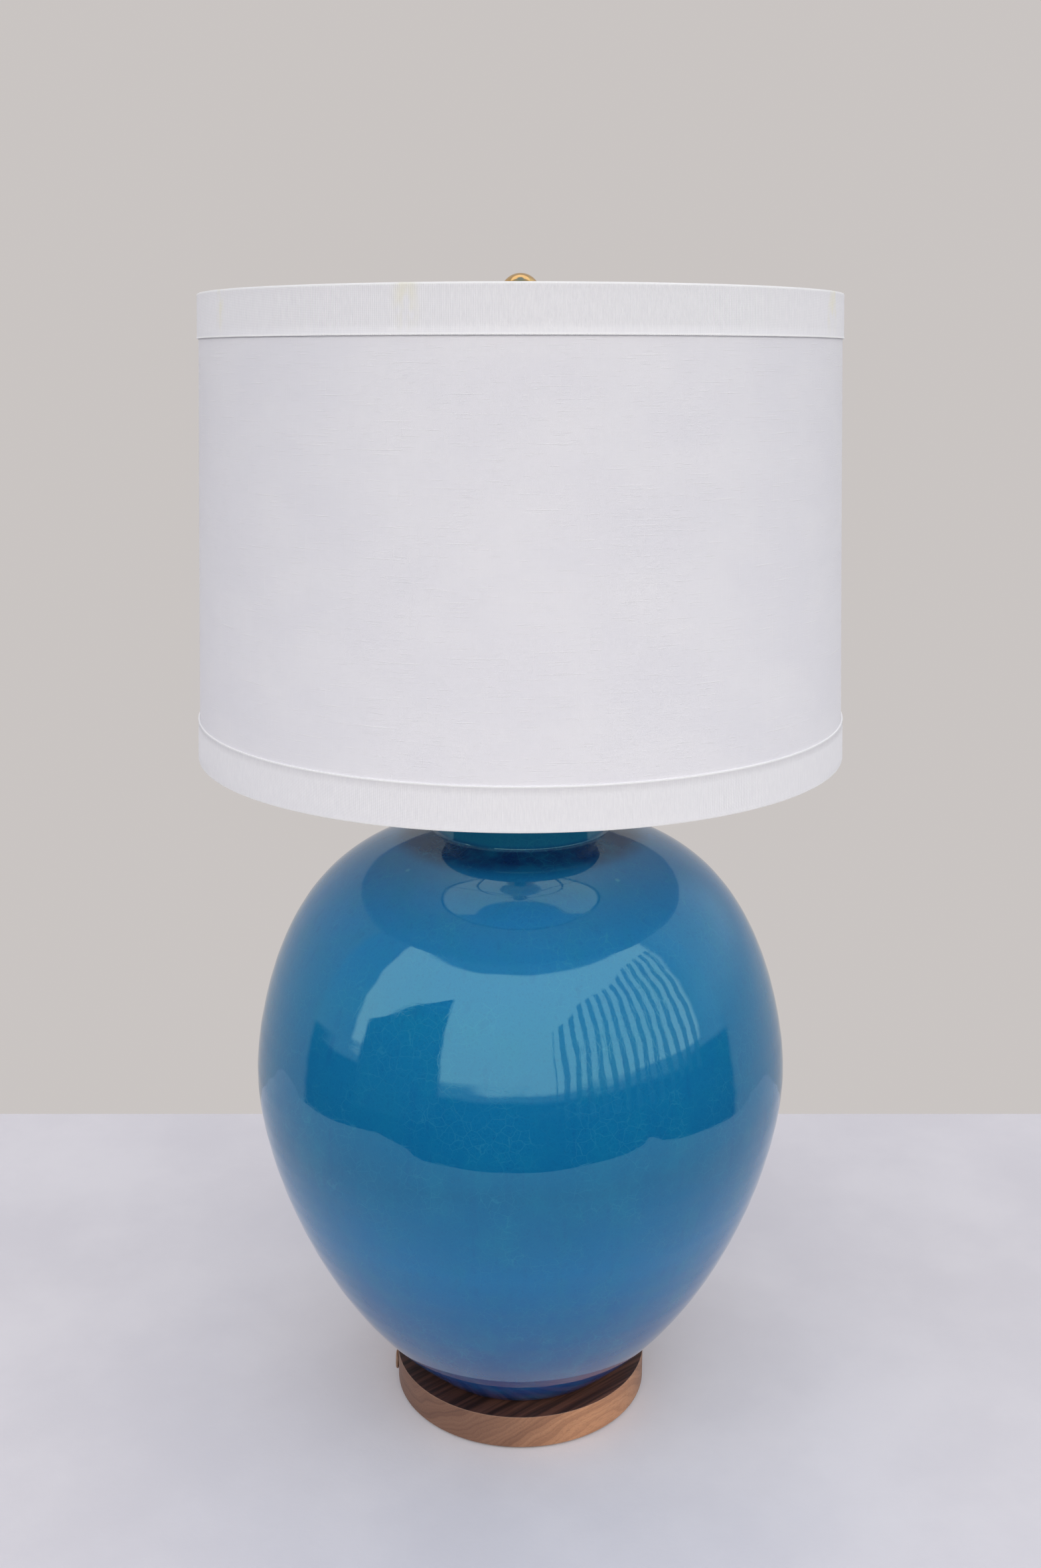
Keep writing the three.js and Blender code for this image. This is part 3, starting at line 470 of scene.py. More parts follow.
def glaze_finish():
    """Glassy copper-blue glaze, clouded and finely crackled, with two pinholes. Painted into its
    colour: shade and a reflection of the dark wood towards the foot, shade in the crease at the
    neck's foot, a contact shadow at its lowest edge and a glint on each pinhole.
    """
    f = Finish("glaze_turquoise", IOR=1.66, Specular_Tint=(0.47, 0.95, 0.87))
    bottom, top = ends("ceramic_jar")
    drift = f.noise(f.stretched(90, 90, 60), 1.0, 3.0)
    height = f.plus(f.z, f.times(f.minus(drift, 0.5), 46.0))
    # Colour by height: partly the glaze's own, partly painted shade and painted reflection, darkest
    # at the foot.
    body = f.ramp(
        f.over(f.minus(height, bottom), top - bottom),
        (0.00, (0.004, 0.016, 0.080)),
        (0.08, (0.005, 0.045, 0.190)),
        (0.35, (0.004, 0.128, 0.330)),
        (0.50, (0.002, 0.103, 0.252)),
        (0.74, (0.004, 0.142, 0.318)),
        (0.88, (0.009, 0.142, 0.352)),
        (1.00, (0.006, 0.110, 0.240)),
    )
    body = f.mix(f.step(f.z, *NECK_Z), body, (0.009, 0.150, 0.290))
    # Dark band in the crease at the foot of the neck: painted shade.
    body = f.tint(body, f.between(f.z, *NECK_CREASE_SHADE_Z, 2.6), 0.95, (0.003, 0.006, 0.072))
    body = f.tint(body, f.step(f.z, *RIM_Z), 0.6, (0.05, 0.09, 0.10))
    # Near-black band along the foot's lowest edge: painted contact shadow.
    foot_shadow = f.step(f.z, bottom + FOOT_CONTACT_SHADOW[0], bottom + FOOT_CONTACT_SHADOW[1], 1.0, 0.0)
    body = f.tint(body, foot_shadow, 0.92, (0.014, 0.011, 0.014))

    cloud = f.noise(f.stretched(22, 22, 34), 1.0, 4.0, 0.6)
    body = f.mix(f.step(cloud, 0.42, 0.72, 0.0, 0.34), body, (0.004, 0.155, 0.290))
    speckle = f.noise(f.place, 0.75, 2.0, 0.7)
    body = f.mix(f.step(speckle, 0.50, 0.78, 0.0, 0.30), body, (0.002, 0.052, 0.185))
    drips = f.noise(f.stretched(6, 6, 70), 1.0, 2.0)
    body = f.mix(f.step(drips, 0.55, 0.80, 0.0, 0.22), body, (0.004, 0.065, 0.235))

    bent = f.node("TexNoise", Vector=f.place, Scale=0.16, Detail=2.0).outputs["Color"]
    bent = f.vector("MULTIPLY_ADD", bent, f.combine(3.4, 3.4, 3.4), f.place)
    lines = []
    for cell, width in ((7.5, 0.035), (3.4, 0.045)):
        cells = f.node("TexVoronoi", {"feature": "DISTANCE_TO_EDGE"}, Vector=bent, Scale=1 / cell)
        lines.append(f.step(cells.outputs["Distance"], 0.0, width, 1.0, 0.0))
    patch = f.step(f.noise(f.place, 0.035, 2.0), 0.40, 0.62)
    crackle = f.math("MAXIMUM", lines[0], f.times(lines[1], 0.55))
    crackle = f.times(crackle, f.scaled_plus(patch, 0.75, 0.25))
    body = f.tint(body, crackle, 0.26, (0.030, 0.240, 0.360))

    # Each pinhole: a bump, painted lighter as a painted glint.
    for spot in PINHOLE_GLINTS:
        ring = f.step(f.length("DISTANCE", f.place, spot), 0.3, 2.2, 1.0, 0.0)
        body = f.tint(body, ring, 0.45, (0.10, 0.34, 0.42))
        f.bump(ring, 0.10)

    f.bump(f.noise(f.stretched(13, 13, 16), 1.0, 0.0), 0.040)
    f.bump(f.noise(f.stretched(4.6, 4.6, 6.0), 1.0, 1.0), 0.011)
    f.bump(crackle, -0.004)
    worn = f.noise(f.place, 0.05, 3.0)
    return f.done(body, f.step(worn, 0.3, 0.8, 0.006, 0.022))


GRAIN_ANGLE = math.radians(40)  # from front left to back right
PITH = (40.0, 128.0)            # the tree's middle: across the grain, and height


def walnut_finish():
    """Oiled walnut, darker where the end grain drinks the oil. Its streaked top is painted darker,
    painted shade under the overhanging jar, and its top edge has a painted highlight.
    """
    f = Finish("walnut_oiled", Specular_IOR_Level=0.42, Coat_Weight=0.06, Coat_Roughness=0.35)
    top = high("walnut_base")
    cos, sin = math.cos(GRAIN_ANGLE), math.sin(GRAIN_ANGLE)
    along = f.plus(f.times(f.x, cos), f.times(f.y, sin))
    across = f.minus(f.times(f.y, cos), f.times(f.x, sin))

    def wood(length, width):
        return f.combine(f.over(along, length), f.over(across, width), f.over(f.z, width))

    sway = f.noise(wood(190.0, 34.0), 1.0, 2.0)
    from_pith = f.combine(f.minus(across, PITH[0]), f.minus(f.z, PITH[1]))
    ring = f.scaled_plus(sway, 22.0, f.length("LENGTH", from_pith))
    fibre = f.noise(wood(42.0, 0.8), 1.0, 3.0, 0.6)
    ring = f.scaled_plus(fibre, 0.9, ring)
    late = f.math("POWER", f.math("FRACT", f.over(ring, 2.9)), 2.2)
    wide = f.noise(f.combine(f.over(ring, 7.5)), 1.0, 2.0)
    colour = f.ramp(
        f.scaled_plus(late, 0.16, f.times(wide, 0.95)),
        (0.22, (0.520, 0.268, 0.140)),
        (0.48, (0.430, 0.208, 0.105)),
        (0.68, (0.320, 0.148, 0.076)),
        (0.92, (0.180, 0.082, 0.044)),
    )
    colour = f.mix(f.step(fibre, 0.42, 0.75, 0.0, 0.30), colour, (0.230, 0.110, 0.064))
    pore = f.step(f.noise(wood(6.0, 0.36), 1.0, 1.0), 0.62, 0.71)
    colour = f.tint(colour, pore, 0.40, (0.070, 0.032, 0.020))
    end = f.step(f.over(f.math("ABSOLUTE", along), reach("walnut_base")), 0.10, 0.97)
    colour = f.tint(colour, end, 0.88, (0.33, 0.34, 0.44), "MULTIPLY")
    # The top face is painted darker: painted shade under the overhanging jar, streaked along the
    # grain.
    face = f.step(f.z, top - 0.45, top - 0.15)
    streak = f.step(f.noise(wood(150.0, 3.4), 1.0, 3.0, 0.6), 0.36, 0.66)
    top_shade_streaked = f.mix(streak, (0.12, 0.11, 0.17), (0.42, 0.36, 0.46))
    colour = f.mix(face, colour, top_shade_streaked, "MULTIPLY")
    # A lighter line along the top edge: painted highlight.
    arris_highlight = f.between(f.z, top - 0.5, top - 0.12, 0.12)
    colour = f.tint(colour, arris_highlight, 0.30, (0.46, 0.27, 0.17))
    f.bump(pore, -0.04)
    f.bump(fibre, 0.02)
    return f.done(colour, f.step(fibre, 0.3, 0.8, 0.46, 0.62))


WEFT_PITCH, WARP_PITCH = 0.62, 0.58
SPECK, SPECK_STRETCH = (-78.7, -182.6, 562.6 / 1.7), (1.0, 1.0, 1.7)


def linen_finish():
    """Bleached linen: fine warp, slubby weft, faint cream clouds and one small rusty speck."""
    f = Finish("linen_white", Specular_IOR_Level=0.18, Sheen_Weight=0.18, Sheen_Roughness=0.45)
    girth = f.times(f.around(), SHADE_BOTTOM_R)

    def threads(where, position, pitch):
        phase = f.times(position, TAU / pitch)
        return f.math("SINE", f.scaled_plus(f.noise(where, 1.0), 2.4, phase))

    weft = threads(f.combine(f.over(girth, 22.0), f.z), f.z, WEFT_PITCH)
    warp = threads(f.combine(girth, f.over(f.z, 22.0)), girth, WARP_PITCH)
    slubs = f.noise(f.cloth(girth, 17.0, 0.62), 1.0, 2.0, 0.55)
    long_slubs = f.noise(f.cloth(girth, 46.0, 0.95, 7.0), 1.0, 1.0)
    slub = f.math("MAXIMUM", f.step(slubs, 0.58, 0.76), f.step(long_slubs, 0.66, 0.78))
    thread = f.step(f.noise(f.cloth(girth, 0.6, 26.0, 3.0), 1.0, 2.0), 0.56, 0.78)
    cloud = f.noise(f.cloth(girth, 60.0, 40.0, 5.0), 1.0, 3.0)
    colour = f.mix(f.step(cloud, 0.35, 0.7), (0.795, 0.780, 0.822), (0.820, 0.804, 0.838))
    colour = f.tint(colour, slub, 0.50, (0.895, 0.882, 0.895))
    colour = f.tint(colour, thread, 0.30, (0.880, 0.866, 0.885))
    colour = f.tint(colour, f.step(slubs, 0.24, 0.40, 1.0, 0.0), 0.22, (0.700, 0.700, 0.725))
    away = f.length("DISTANCE", f.stretched(*SPECK_STRETCH), SPECK)
    colour = f.tint(colour, f.step(away, 0.35, 0.75, 1.0, 0.0), 0.8, (0.30, 0.16, 0.12))
    f.bump(f.times(weft, warp), 0.035)
    f.bump(slub, 0.08)
    f.bump(thread, 0.05)
    return f.done(colour, 0.9)


GLUE_STAINS = ((-107.2, 1.6), (-25.5, 2.6), (-148.0, 1.2))  # angle and half width, in degrees


def grosgrain_finish():
    """White grosgrain ribbon with painted highlights along its edges and a little old glue showing
    near the top.
    """
    f = Finish("grosgrain_white", Specular_IOR_Level=0.22, Sheen_Weight=0.12, Sheen_Roughness=0.35)
    girth = f.times(f.around(), SHADE_BOTTOM_R)
    yarn = f.noise(f.cloth(girth, 0.9, 7.0), 1.0, 3.0)
    colour = f.mix(f.step(yarn, 0.3, 0.7), (0.800, 0.786, 0.812), (0.836, 0.822, 0.842))

    def widest(masks):
        return functools.reduce(lambda a, b: f.math("MAXIMUM", a, b), masks)

    edges = (SHADE_TOP - TRIM_WIDTH, SHADE_TOP, SHADE_BOTTOM, SHADE_BOTTOM + TRIM_WIDTH)
    # Lighter lines along the ribbon's edges: painted highlights on the corded selvedges.
    selvedge = widest([f.between(f.z, z - 1.0, z + 1.0, 0.25) for z in edges])
    colour = f.tint(colour, selvedge, 0.8, (0.90, 0.890, 0.895))
    angle = f.around()
    stain = widest([
        f.between(angle, math.radians(at - width), math.radians(at + width), math.radians(1.2))
        for at, width in GLUE_STAINS
    ])
    patchy = f.step(f.noise(f.cloth(girth, 6.0, 14.0), 1.0, 3.0), 0.35, 0.65)
    upper = f.step(f.z, SHADE_TOP - TRIM_WIDTH - 1, SHADE_TOP - 14)
    stain = f.times(f.times(stain, patchy), upper)
    colour = f.tint(colour, stain, 0.45, (0.82, 0.78, 0.58))
    f.bump(f.math("SINE", f.times(f.z, TAU / 0.45)), 0.02)
    f.bump(yarn, 0.015)
    return f.done(colour, 0.82)


def styrene_finish():
    f = Finish("styrene_liner", Specular_IOR_Level=0.35)
    mottled = f.noise(f.place, 0.08, 3.0)
    colour = f.mix(f.step(mottled, 0.3, 0.7), (0.835, 0.825, 0.800), (0.790, 0.778, 0.745))
    f.bump(f.noise(f.place, 1.4, 3.0), 0.02)
    f.bump(f.noise(f.stretched(30, 30, 9), 1.0, 2.0), 0.25)
    return f.done(colour, f.step(mottled, 0.3, 0.7, 0.42, 0.60))


def brass_finish(name, colour, rough, dull=0.35, brushed=(2.2, 2.2, 0.16)):
    """Lacquered brass with faint tarnish; brushed gives the lengths of its polishing marks."""
    f = Finish(name, Metallic=1.0)
    tarnish = f.noise(f.place, 0.11, 4.0, 0.6)
    darker = tuple(c * k for c, k in zip(colour, (0.72, 0.62, 0.52)))
    tint = f.mix(f.step(tarnish, 0.45, 0.75, 0.0, dull), colour, darker)
    spots = f.step(f.noise(f.place, 0.9, 2.0), 0.70, 0.78)
    tint = f.tint(tint, spots, 0.25, darker)
    marks = f.noise(f.stretched(*brushed), 1.0, 3.0)
    f.bump(marks, 0.006)
    scuffs = f.plus(marks, f.times(tarnish, 0.6))
    return f.done(tint, f.step(scuffs, 0.5, 1.2, rough, rough + 0.16))


def steel_finish(name, colour=(0.62, 0.62, 0.63), rough=0.28):
    f = Finish(name, Metallic=1.0)
    cloud = f.noise(f.place, 0.35, 4.0, 0.65)
    tint = f.mix(f.step(cloud, 0.4, 0.75, 0.0, 0.5), colour, tuple(c * 0.66 for c in colour))
    f.bump(f.noise(f.stretched(1.5, 1.5, 0.12), 1.0, 2.0), 0.006)
    return f.done(tint, f.step(cloud, 0.3, 0.8, rough, rough + 0.2))


def plastic_finish(name, colour, rough, grain=0.02):
    f = Finish(name, Specular_IOR_Level=0.5)
    cloud = f.noise(f.place, 0.25, 3.0)
    paler = tuple(min(1, c * 1.35 + 0.004) for c in colour)
    tint = f.mix(f.step(cloud, 0.3, 0.8), colour, paler)
    f.bump(f.noise(f.place, 2.6, 3.0), grain)
    return f.done(tint, f.step(cloud, 0.3, 0.7, rough, rough + 0.14))


def felt_finish():
    f = Finish("felt_green", Specular_IOR_Level=0.1, Sheen_Weight=0.5, Sheen_Roughness=0.6)
    fibres = f.noise(f.place, 1.6, 5.0, 0.7, 1.5)
    colour = f.mix(f.step(fibres, 0.3, 0.7), (0.012, 0.030, 0.020), (0.036, 0.070, 0.050))
    f.bump(fibres, 0.25)
    return f.done(colour, 0.95)


def fibre_finish(name, colour):
    """Cork and fish paper: matt, with short tangled fibres."""
    f = Finish(name, Specular_IOR_Level=0.15)
    grain = f.noise(f.place, 0.7, 5.0, 0.65, 0.8)
    tint = f.mix(f.step(grain, 0.3, 0.72), tuple(c * 0.62 for c in colour), colour)
    f.bump(grain, 0.12)
    return f.done(tint, 0.85)


def opal_finish():
    """The soft white inside coating of the bulb, seen through its glass."""
    f = Finish("bulb_opal", Coat_Weight=1.0, Coat_Roughness=0.03, Coat_IOR=1.5)
    cloud = f.noise(f.place, 0.05, 3.0)
    colour = f.mix(f.step(cloud, 0.3, 0.7), (0.86, 0.85, 0.82), (0.80, 0.79, 0.755))
    f.bump(f.noise(f.place, 0.9, 2.0), 0.003)
    return f.done(colour, f.step(cloud, 0.3, 0.7, 0.5, 0.6))


GLAZE = glaze_finish()
WALNUT = walnut_finish()
LINEN = linen_finish()
GROSGRAIN = grosgrain_finish()
STYRENE = styrene_finish()
BALL_BRASS = brass_finish("brass_polished", (0.760, 0.520, 0.235), 0.05, 0.25, (0.9, 0.9, 0.9))
BRASS = brass_finish("brass_spun", (0.690, 0.480, 0.225), 0.20)
WIRE_BRASS = brass_finish("brass_plated_wire", (0.640, 0.470, 0.250), 0.26, 0.5)
NUT_BRASS = brass_finish("brass_turned", (0.600, 0.420, 0.200), 0.30, 0.5, (1.2, 1.2, 0.2))
STEEL = steel_finish("steel_zinc")
NICKEL = steel_finish("nickel_bright", (0.70, 0.69, 0.66), 0.16)
PHENOLIC = plastic_finish("phenolic_black", (0.010, 0.009, 0.008), 0.30)
BROWN_PLASTIC = plastic_finish("bushing_brown", (0.190, 0.105, 0.062), 0.42)
GLASS_BLACK = plastic_finish("bulb_glass_insulator", (0.012, 0.010, 0.014), 0.10, 0.004)
FELT = felt_finish()
CORK = fibre_finish("gasket_cork", (0.42, 0.27, 0.15))
FISH_PAPER = fibre_finish("fish_paper", (0.62, 0.50, 0.32))
OPAL = opal_finish()


# --- base
def cutter(r, start, end, sides, axis, height):
    """A round tool that lies along an axis, at a height."""
    outline = [(0, start), (r, start), (r, end), (0, end)]
    return lathe("cutter", outline, sides, None, axis, (0, 0, height))


def make_felt():
    hi, r = high("felt_pad"), reach("felt_pad")

    def ragged(a, radius, z):
        return np.where(radius > 1, 0.10 * np.sin(61 * a) * np.sin(17 * a + 1), 0)

    turned("felt_pad", [(0, 0), (r, 0, 0.25), (r, hi, 0.4), (0, hi)], FELT, 240, ragged)


def make_walnut():
    lo, hi, r = spans("walnut_base")
    counterbore, counterbore_top = 22, high("base_washer") + 0.3
    outline = rounded([
        (ROD_HOLE, hi, 0.3), (r, hi, 0.35), (r, lo, 0.8), (counterbore, lo, 0.4),
        (counterbore, counterbore_top), (ROD_HOLE, counterbore_top),
    ])
    disc = lathe("walnut_base_looks", subdivided(outline, 6), 256)
    outlet = middle_height("cord_bushing")
    drilled(disc, cutter(4.9, 15, r + 12, 32, "-x", outlet))
    stands_for(disc, "walnut_base", WALNUT)

    bore, barrel, flange, end = 3.3, 4.6, 6.4, -BOXES["cord_bushing"][0].x / MM
    start, face = end - 12.6, end - 1.6
    bushing = [
        (bore, start, 0.3), (barrel, start, 0.3), (barrel, face), (flange, face, 0.2),
        (flange, end, 0.8), (bore, end, 0.7),
    ]
    turned("cord_bushing", bushing, BROWN_PLASTIC, 48, None, "-x", (0, 0, outlet))


def hex_nut(node):
    """A hexagon nut, its corners chamfered at both ends."""
    lo, hi, corner = spans(node)
    bore, half, side_angle = 5.15, math.radians(30), math.radians(60)
    flat = corner * math.cos(half)

    def wave(a, r, z):
        side = flat / np.cos((a + half) % side_angle - half)
        chamfer = flat - 0.1 + np.minimum(z - lo, hi - z) * 1.9
        return np.where(r > bore + 1, np.minimum(side, chamfer) - r, 0)

    thick = hi - lo
    heights = np.concatenate([np.linspace(0, 1.0, 6), np.linspace(1.3, thick - 1.3, 3),
                              np.linspace(thick - 1.0, thick, 6)])
    outline = [(bore, lo + 0.5), (bore + 0.5, lo)]
    outline += [(corner, lo + h) for h in heights] + [(bore + 0.5, hi), (bore, hi - 0.5)]
    turned(node, outline, NUT_BRASS, 144, wave)


def make_fixings():
    lo, hi, r = spans("base_washer")
    washer = [(ROD_HOLE, lo, 0.2), (r, lo, 0.4), (r, hi, 0.4), (ROD_HOLE, hi, 0.2)]
    turned("base_washer", washer, STEEL, 96)
    hex_nut("base_nut")
    hex_nut("lock_nut")
    lo, hi, r = spans("foot_gasket")
    gasket = [(12, lo, 0.4), (r, lo, 0.8), (r, hi, 0.8), (12, hi, 0.4)]
    turned("foot_gasket", gasket, CORK, 120)


def ridges(z, a, pitch):
    """A V thread's cut, from 0 to its depth, at a height and an angle."""
    return THREAD_DEPTH * np.abs(2 * ((z / pitch - a / TAU) % 1) - 1)


def make_rod():
    """Hollow rod, its thread cut where the nuts run, at both ends."""
    lo, hi, r = spans("threaded_rod")
    bore, root, step = 3.4, r - THREAD_DEPTH, ROD_PITCH / 6
    threads = [(root, z) for z in np.arange(lo + 0.8, lo + 24, step)]
    threads += [(root, z) for z in np.arange(hi - 34, hi - 0.8, step)]
    outline = [(bore, lo), (r - 0.8, lo)] + threads + [(r - 0.8, hi), (bore, hi)]

    def wave(a, radius, z):
        cut = (radius > bore + 0.5) & (z > lo + 0.5) & (z < hi - 0.5)
        return np.where(cut, ridges(z, a, ROD_PITCH), 0)

    turned("threaded_rod", outline, STEEL, 40, wave)


# --- jar
JAR_OUTLINE = [
    (70.8, 24.8), (99.6, 54.5), (128.6, 94.5), (153.3, 144.5), (171.5, 204.5), (176, 244.5),
    (171.2, 284.5), (159.2, 324.5), (143.6, 354.5), (127, 374.5), (98, 394.5), (66.3, 404.5),
]


def throwing_marks(a, r, z):
    """The hand-thrown unevenness of the wall, fading towards the foot and the neck."""
    body = np.clip((z - 40) / 60, 0, 1) * np.clip((400 - z) / 25, 0, 1)
    slow = 0.30 * np.sin(2 * a + 0.8) + 0.16 * np.sin(3 * a + z / 70)
    slow = slow + 0.10 * np.sin(5 * a - z / 42 + 2)
    ripple = 0.030 * np.sin(z / 2.1 + 1.5 * np.sin(2 * a))
    ripple = ripple + 0.022 * np.sin(z / 3.4 - 2 * np.sin(a + 1))
    dimples = 0.020 * np.sin(17 * a + z / 9) * np.sin(z / 5.2 - 11 * a)
    dimples = dimples + 0.016 * np.sin(29 * a - z / 6.5)
    return np.where(r > 45, body * (slow + ripple + dimples), 0)


def lip_reach():
    """Radius of the rolled lip: the jar's own, read off its points near the top."""
    near_top = (high("ceramic_jar") - 4) * MM
    points = [v.co for v in frame["nodes"]["ceramic_jar"].data.vertices if v.co.z > near_top]
    return max(math.hypot(c.x, c.y) for c in points) / MM


def make_jar():
    lo, hi = ends("ceramic_jar")
    wall, neck, lip, recess, floor = 6, 56, lip_reach(), 58, lo + 10.2
    inner = inset(smooth_curve(JAR_OUTLINE, 40), wall)
    inner = [(r, max(z, floor)) for r, z in inner[::-1] if r > recess]
    upper = rounded([
        (66.3, 404.5), (neck, 407.4, 2.6), (neck, 425.5, 16), (lip, 434.8, 2.5), (lip, hi, 2.2),
        (neck - wall, hi, 2.6), (neck - wall, 402, 3), (72, 398),
    ], 9)[1:-1]
    foot = [
        (8, floor), (8, lo + 4.2), (recess, lo + 4.2), (recess + 2, lo),
        (69.2, lo), (70.2, lo + 0.25), (70.8, lo + 0.8),
    ]
    side = list(smooth_curve(JAR_OUTLINE, 260)[2:])
    outline = foot + side + subdivided(upper, 1.6)[:-1] + inner
    turned("ceramic_jar", outline, GLAZE, 240, throwing_marks)


# --- stack on the mouth of the jar
def make_stack():
    edge, r = low("jar_cap") + 7, reach("jar_cap")
    rise, sheet, skirt, boss = 5, 1.4, 48, 14
    cap = [
        (ROD_HOLE, edge + rise), (boss, edge + rise, 1), (skirt - sheet - 3, edge, 2),
        (skirt - sheet, edge - 7), (skirt, edge - 7, 0.3), (skirt, edge, 0.4), (r, edge, 0.6),
        (r, edge + sheet, 0.6), (skirt + 2, edge + sheet, 1.5),
        (skirt - 2, edge + sheet + 0.5, 1.5), (boss + 1, edge + rise + sheet, 1.5),
        (ROD_HOLE, edge + rise + sheet, 0.3),
    ]
    turned("jar_cap", cap, BRASS, 160)

    lo, hi, r = spans("neck_tube")
    tube = [
        (ROD_HOLE, lo), (r, lo, 0.5), (r, lo + 1.6, 0.4),
        (r - 0.8, lo + 2.4, 0.4), (r - 0.8, hi - 2.4, 0.4), (r, hi - 1.6, 0.4),
        (r, hi, 0.5), (ROD_HOLE, hi),
    ]
    turned("neck_tube", tube, BRASS, 96)

    lo, hi, r = spans("check_ring")
    ring = [
        (ROD_HOLE, lo), (r, lo, 0.35), (r, hi, 0.35), (10, hi, 0.3),
        (9, hi - 0.3, 0.3), (ROD_HOLE, hi - 0.3),
    ]

    def knurl(a, radius, z):
        return np.where(radius > r - 0.5, 0.14 * (np.cos(60 * a) - 1), 0)

    turned("check_ring", ring, BRASS, 360, knurl)


# --- harp
def make_harp():
    keeps("harp_saddle", WIRE_BRASS, 0.4)
    lo, tip, shoulder = spans("harp_stud")
    foot, wire_z, boss = low("harp_wire"), lo + 5, 5.5
    half = [
        (LEG_X, foot + 1.6), (LEG_X, foot + 12), (LEG_X, foot + 24), (39, foot + 46),
        (53, foot + 82), (57, foot + 122), (52, foot + 170), (38, foot + 212),
        (23, wire_z - 4), (boss + 9, wire_z - 0.6), (boss + 2, wire_z), (0, wire_z),
    ]
    right = [(x, 0, z) for x, z in half]
    left = [(-x, 0, z) for x, z in half[:-1]]
    path = smooth_curve(left + right[::-1], 260)
    wire = sweep("harp_wire_looks", path, BOXES["harp_wire"][1].y / MM, 18)
    stands_for(wire, "harp_wire", WIRE_BRASS)

    seat, screw = tip - 11, 3.15
    root = screw - THREAD_DEPTH
    stud = rounded([
        (0, lo), (boss, lo, 0.9), (boss, seat - 2, 0.3), (shoulder, seat - 2, 0.5),
        (shoulder, seat, 0.5), (root, seat),
    ])
    stud += [(root, z) for z in np.arange(seat + 0.8, tip - 0.7, 0.13)]
    stud += [(screw - 0.9, tip), (0, tip)]

    def wave(a, r, z):
        cut = (z > seat + 0.5) & (z < tip - 0.5) & (r > 1)
        return np.where(cut, ridges(z, a, STUD_PITCH), 0)

    turned("harp_stud", stud, BRASS, 64, wave)

    for node, x in (("harp_ferrule_left", -LEG_X), ("harp_ferrule_right", LEG_X)):
        lo, hi = ends(node)
        bore, waist, rim = 3.5, 4.0, 4.3
        ferrule = [
            (bore, lo, 0.2), (rim, lo, 0.3), (rim, lo + 1.2, 0.3),
            (waist, lo + 1.8, 0.3), (waist, hi - 2.6, 0.3), (rim, hi - 2.0, 0.3),
            (rim, hi, 0.3), (bore, hi, 0.2),
        ]
        turned(node, ferrule, BRASS, 48, None, "z", (x, 0, 0))


# --- lamp holder
def rolled(depth, skin, lo, hi=math.inf):
    """The bulb's thread, rolled into the wall outside the skin radius, faded at its ends."""
    def wave(a, radius, z):
        fade = np.clip((z - lo - 2.2) / 1.5, 0, 1) * np.clip((hi - 2.5 - z) / 1.5, 0, 1)
        return np.where(radius > skin, depth * fade * np.cos(TAU * z / THREAD_PITCH - a), 0)

    return wave


def make_holder():
    switch_z = middle_height("switch_shaft")
    lo, hi, r = spans("holder_cap")
    cap = rounded([
        (ROD_HOLE, lo), (8, lo, 0.5), (8, lo + 7, 1), (12.6, lo + 11, 3),
        (r, lo + 18, 3), (r, hi - 2, 0.3), (r, hi, 0.35), (r - 0.8, hi, 0.2),
        (r - 0.8, lo + 18.3, 2), (12, lo + 11.8, 2), (7.6, lo + 8.2),
        (ROD_HOLE, lo + 8.2),
    ])

    def bead(a, radius, z):
        rise = z - hi + 3.2
        fade = np.clip(1 - np.abs(rise) / 1.6, 0, 1)
        return np.where(radius > r - 0.4, 0.25 * (np.cos(rise * 2.4) - 1) * fade, 0)

    turned("holder_cap", subdivided(cap, 0.8), BRASS, 96, bead)

    lo, hi = ends("holder_shell")
    wall, sheet = 16.5, 0.6
    shell = [(wall - sheet, lo), (wall, lo)]
    for z in np.arange(lo + 12, hi - 1.2, 0.5):
        upper_ridge = 0.28 * math.exp(-((z - (hi - 7)) / 1.1) ** 2)
        lower_ridge = 0.22 * math.exp(-((z - (lo + 23)) / 0.9) ** 2)
        shell.append((wall + (upper_ridge + lower_ridge), z))
    shell += rounded([(wall, hi - 1.2), (wall + 0.5, hi, 0.4), (wall - sheet, hi, 0.25)])

    lo, hi, r = spans("holder_sleeve")
    sleeve = [(r - 0.5, lo, 0.1), (r, lo, 0.1), (r, hi, 0.2), (r - 0.5, hi, 0.2)]
    windowed = (("holder_shell", shell, 96, BRASS),
                ("holder_sleeve", rounded(sleeve), 80, FISH_PAPER))
    for node, outline, sides, finish in windowed:
        made = lathe(node + "_looks", outline, sides)
        drilled(made, cutter(3.2, 10, 22, 40, "-y", switch_z))
        stands_for(made, node, finish)

    keeps("holder_body", PHENOLIC, 0.4)
    keeps("terminal_screw_hot", NUT_BRASS, 0.12)
    keeps("terminal_screw_neutral", NICKEL, 0.12)

    lo, hi = ends("screw_shell")
    wall, sheet = 13.35, 0.4
    heights = np.arange(lo + 2.4, hi, 0.3)
    cup = [(6, lo), (wall - 1, lo), (wall + sheet, lo + 1.4)]
    cup += [(wall + sheet, z) for z in heights] + [(wall, z) for z in heights[::-1]]
    cup += [(wall, lo + 1.7), (wall - 1.2, lo + 0.5), (6, lo + 0.5)]
    turned("screw_shell", cup, NICKEL, 72, rolled(0.36, wall - 0.5, lo))

    lo = low("centre_contact")
    contact = [
        (0, lo), (4, lo, 0.1), (4, lo + 0.5, 0.2), (2.2, lo + 2.1, 0.6),
        (0, lo + 2.4),
    ]
    turned("centre_contact", contact, NUT_BRASS, 40)
    make_switch(switch_z)


